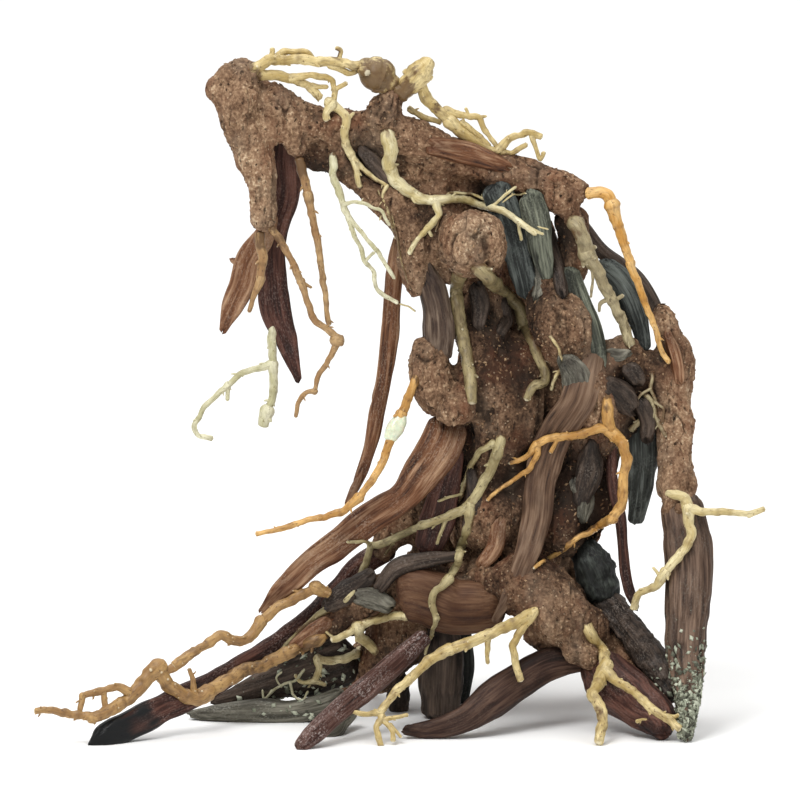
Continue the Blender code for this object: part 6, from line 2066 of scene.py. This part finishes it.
# Limbs that fill the trunk where the photo shows no gap, and that cover the ends of the wood
FILL_LIMBS = [
    [(258, 116, -4, 12), (272, 128, -5, 13), (284, 142, -4, 9)],
    [(424, 226, -2, 9), (434, 244, -4, 9), (446, 262, -4, 8)],
    [(570, 190, -2, 16), (590, 192, -4, 9)],
    [(262, 218, -10, 12), (257, 236, -10, 7)],
    [(264, 222, -10, 10), (272, 236, -10, 5)],
    [(294, 140, -6, 9), (300, 158, -7, 6)],
    [(558, 214, 0, 16), (574, 222, -4, 10), (580, 236, -6, 7)],
]
LOW_FILL_LIMBS = [
    [(540, 520, 32, 40), (572, 590, 38, 30), (600, 640, 44, 19)],
    [(500, 520, 36, 36), (464, 580, 38, 28), (424, 626, 40, 18)],
    [(530, 500, 36, 44), (520, 560, 34, 40), (508, 590, 26, 26)],
    [(520, 240, 24, 20), (500, 300, 30, 22), (480, 380, 36, 26), (470, 460, 38, 26)],
    [(548, 240, 22, 18), (566, 320, 32, 24), (580, 400, 38, 28), (586, 470, 38, 26)],
    [(679, 494, -12, 20), (683, 512, -15, 19), (684, 524, -17, 15)],
    [(394, 590, -12, 12), (420, 582, -12, 14), (452, 584, -12, 13), (486, 592, -14, 12)],
    [(470, 392, -10, 13), (452, 410, -17, 15), (444, 428, -20, 11)],
    [(452, 380, -8, 12), (462, 400, -14, 12), (468, 425, -16, 9)],
    [(600, 370, -6, 15), (594, 396, -12, 13), (600, 420, -12, 9)],
    [(506, 560, -10, 24), (524, 590, -18, 22), (548, 616, -24, 20), (572, 640, -26, 14)],
    [(470, 566, -12, 14), (502, 588, -16, 14), (526, 612, -22, 14)],
    [(560, 640, -24, 14), (584, 656, -24, 14), (604, 664, -26, 10)],
    [(556, 600, -20, 18), (584, 616, -18, 16), (608, 640, -16, 12)],
]

# The upper skin is made of the first limbs and the lower one of the last, and they overlap
UPPER_LIMBS = 22
LOWER_FROM = 19
CHIPS_OF_A_SKIN = 3500
LICHEN_SIZE_MM = (0.4, 1.35)
FINE_GNARL_MM = 0.1
FRAGMENT_LOOK = {"flatness": 0.9, "squareness": 4.0, "warp_mm": 1.1, "relief_mm": 0.6, "splinter_mm": 4.0,
                 "sink": 0.75}

# First seeds of the random draws
WOOD_SEED = 3
WOOD_SEED_STEP = 7
CHIP_SEED = 9
LICHEN_SEED = 40
ROOT_SEED = 100
FRAGMENT_SEED = 300
FINE_ROOT_SEED = 400


def main() -> None:
    """Build the trunk with its chips, the wood, the lichen, the roots, the glue bead and the studio."""
    logging.basicConfig(level=logging.INFO, format="%(message)s")
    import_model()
    solid_box = [list(corner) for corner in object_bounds()]

    upper = Mortar("mortar_upper", TRUNK_LIMBS[:UPPER_LIMBS] + FILL_LIMBS, shades=TRUNK_SHADES)
    lower = Mortar("mortar_lower", TRUNK_LIMBS[LOWER_FROM:] + LOW_FILL_LIMBS, shades=TRUNK_SHADES)
    skins = [upper.skin(), lower.skin()]
    trunk_trees = [tree_of(skin) for skin in skins]
    mortar = MORTAR.material()
    crumbled = []
    for part, skin in zip((upper, lower), skins):
        surface = kept_inside(part.crumbled(skin), solid_box)
        finished(part.name, surface, mortar, "mortar_trunk")
        crumbled.append(surface)
    chip_look = CHIPS.material()
    for index, surface in enumerate(crumbled):
        chips = Chips(f"mortar_chips_{index}", CHIPS_OF_A_SKIN, seed=CHIP_SEED + index)
        finished(chips.name, chips.surface(surface, solid_box), chip_look, "")

    wood_trees = list(trunk_trees)
    surfaces = {}
    every_finish = {**WOOD_FINISHES, **ROOT_FINISHES, **EXTRA_FINISHES}
    looks = {name: finish.material() for name, finish in every_finish.items()}
    for index, (name, finish, flatness, limbs) in enumerate(WOOD_PIECES):
        seed = WOOD_SEED + WOOD_SEED_STEP * index
        piece = WoodPiece(flatness, limbs, seed=seed, **WOOD_LOOKS.get(name, {}))
        smooth = piece.base(trunk_trees)
        wood_trees.append(tree_of(smooth))
        surfaces[name] = kept_inside(piece.carve(smooth), solid_box)
        finished(name + "_wood", surfaces[name], looks[LOOK_OF.get(name, finish)], name)

    for index, (name, look, slot, limbs) in enumerate(FRAGMENTS):
        piece = WoodPiece(limbs=limbs, seed=FRAGMENT_SEED + index, **FRAGMENT_LOOK)
        smooth = piece.base(trunk_trees)
        finished(name, kept_inside(piece.carve(smooth), solid_box), looks[look], "")
    lichen = LICHEN.material()
    for name, host, count, region in LICHEN_SPOTS:
        flakes = Chips(name, count, seed=LICHEN_SEED + count, size_mm=LICHEN_SIZE_MM)
        finished(name, flakes.surface(surfaces[host], solid_box, region), lichen, "")

    root_trees = []
    for index, (name, finish, branches) in enumerate(ROOT_PIECES):
        root = RootSystem(branches, seed=ROOT_SEED + index, stains=ROOT_STAINS, **ROOT_LOOKS.get(name, {}))
        surface = root.surface(wood_trees, root_trees, trunk_trees)
        root_trees.append(tree_of(surface))
        look = looks[LOOK_OF.get(name, finish)]
        finished(name + "_skin", kept_inside(surface, solid_box), look, name)

    for index, (name, look, slot, branches) in enumerate(FINE_ROOTS):
        root = RootSystem(branches, seed=FINE_ROOT_SEED + index, gnarl_mm=FINE_GNARL_MM)
        surface = root.surface(wood_trees, [], trunk_trees)
        finished(name, kept_inside(surface, solid_box), looks[look], "")
    drop = kept_inside(GlueBead(BEAD).surface(), solid_box)
    finished("glue_bead", drop, GLUE.material(), "")

    Studio().build()


if __name__ == "__main__":
    main()
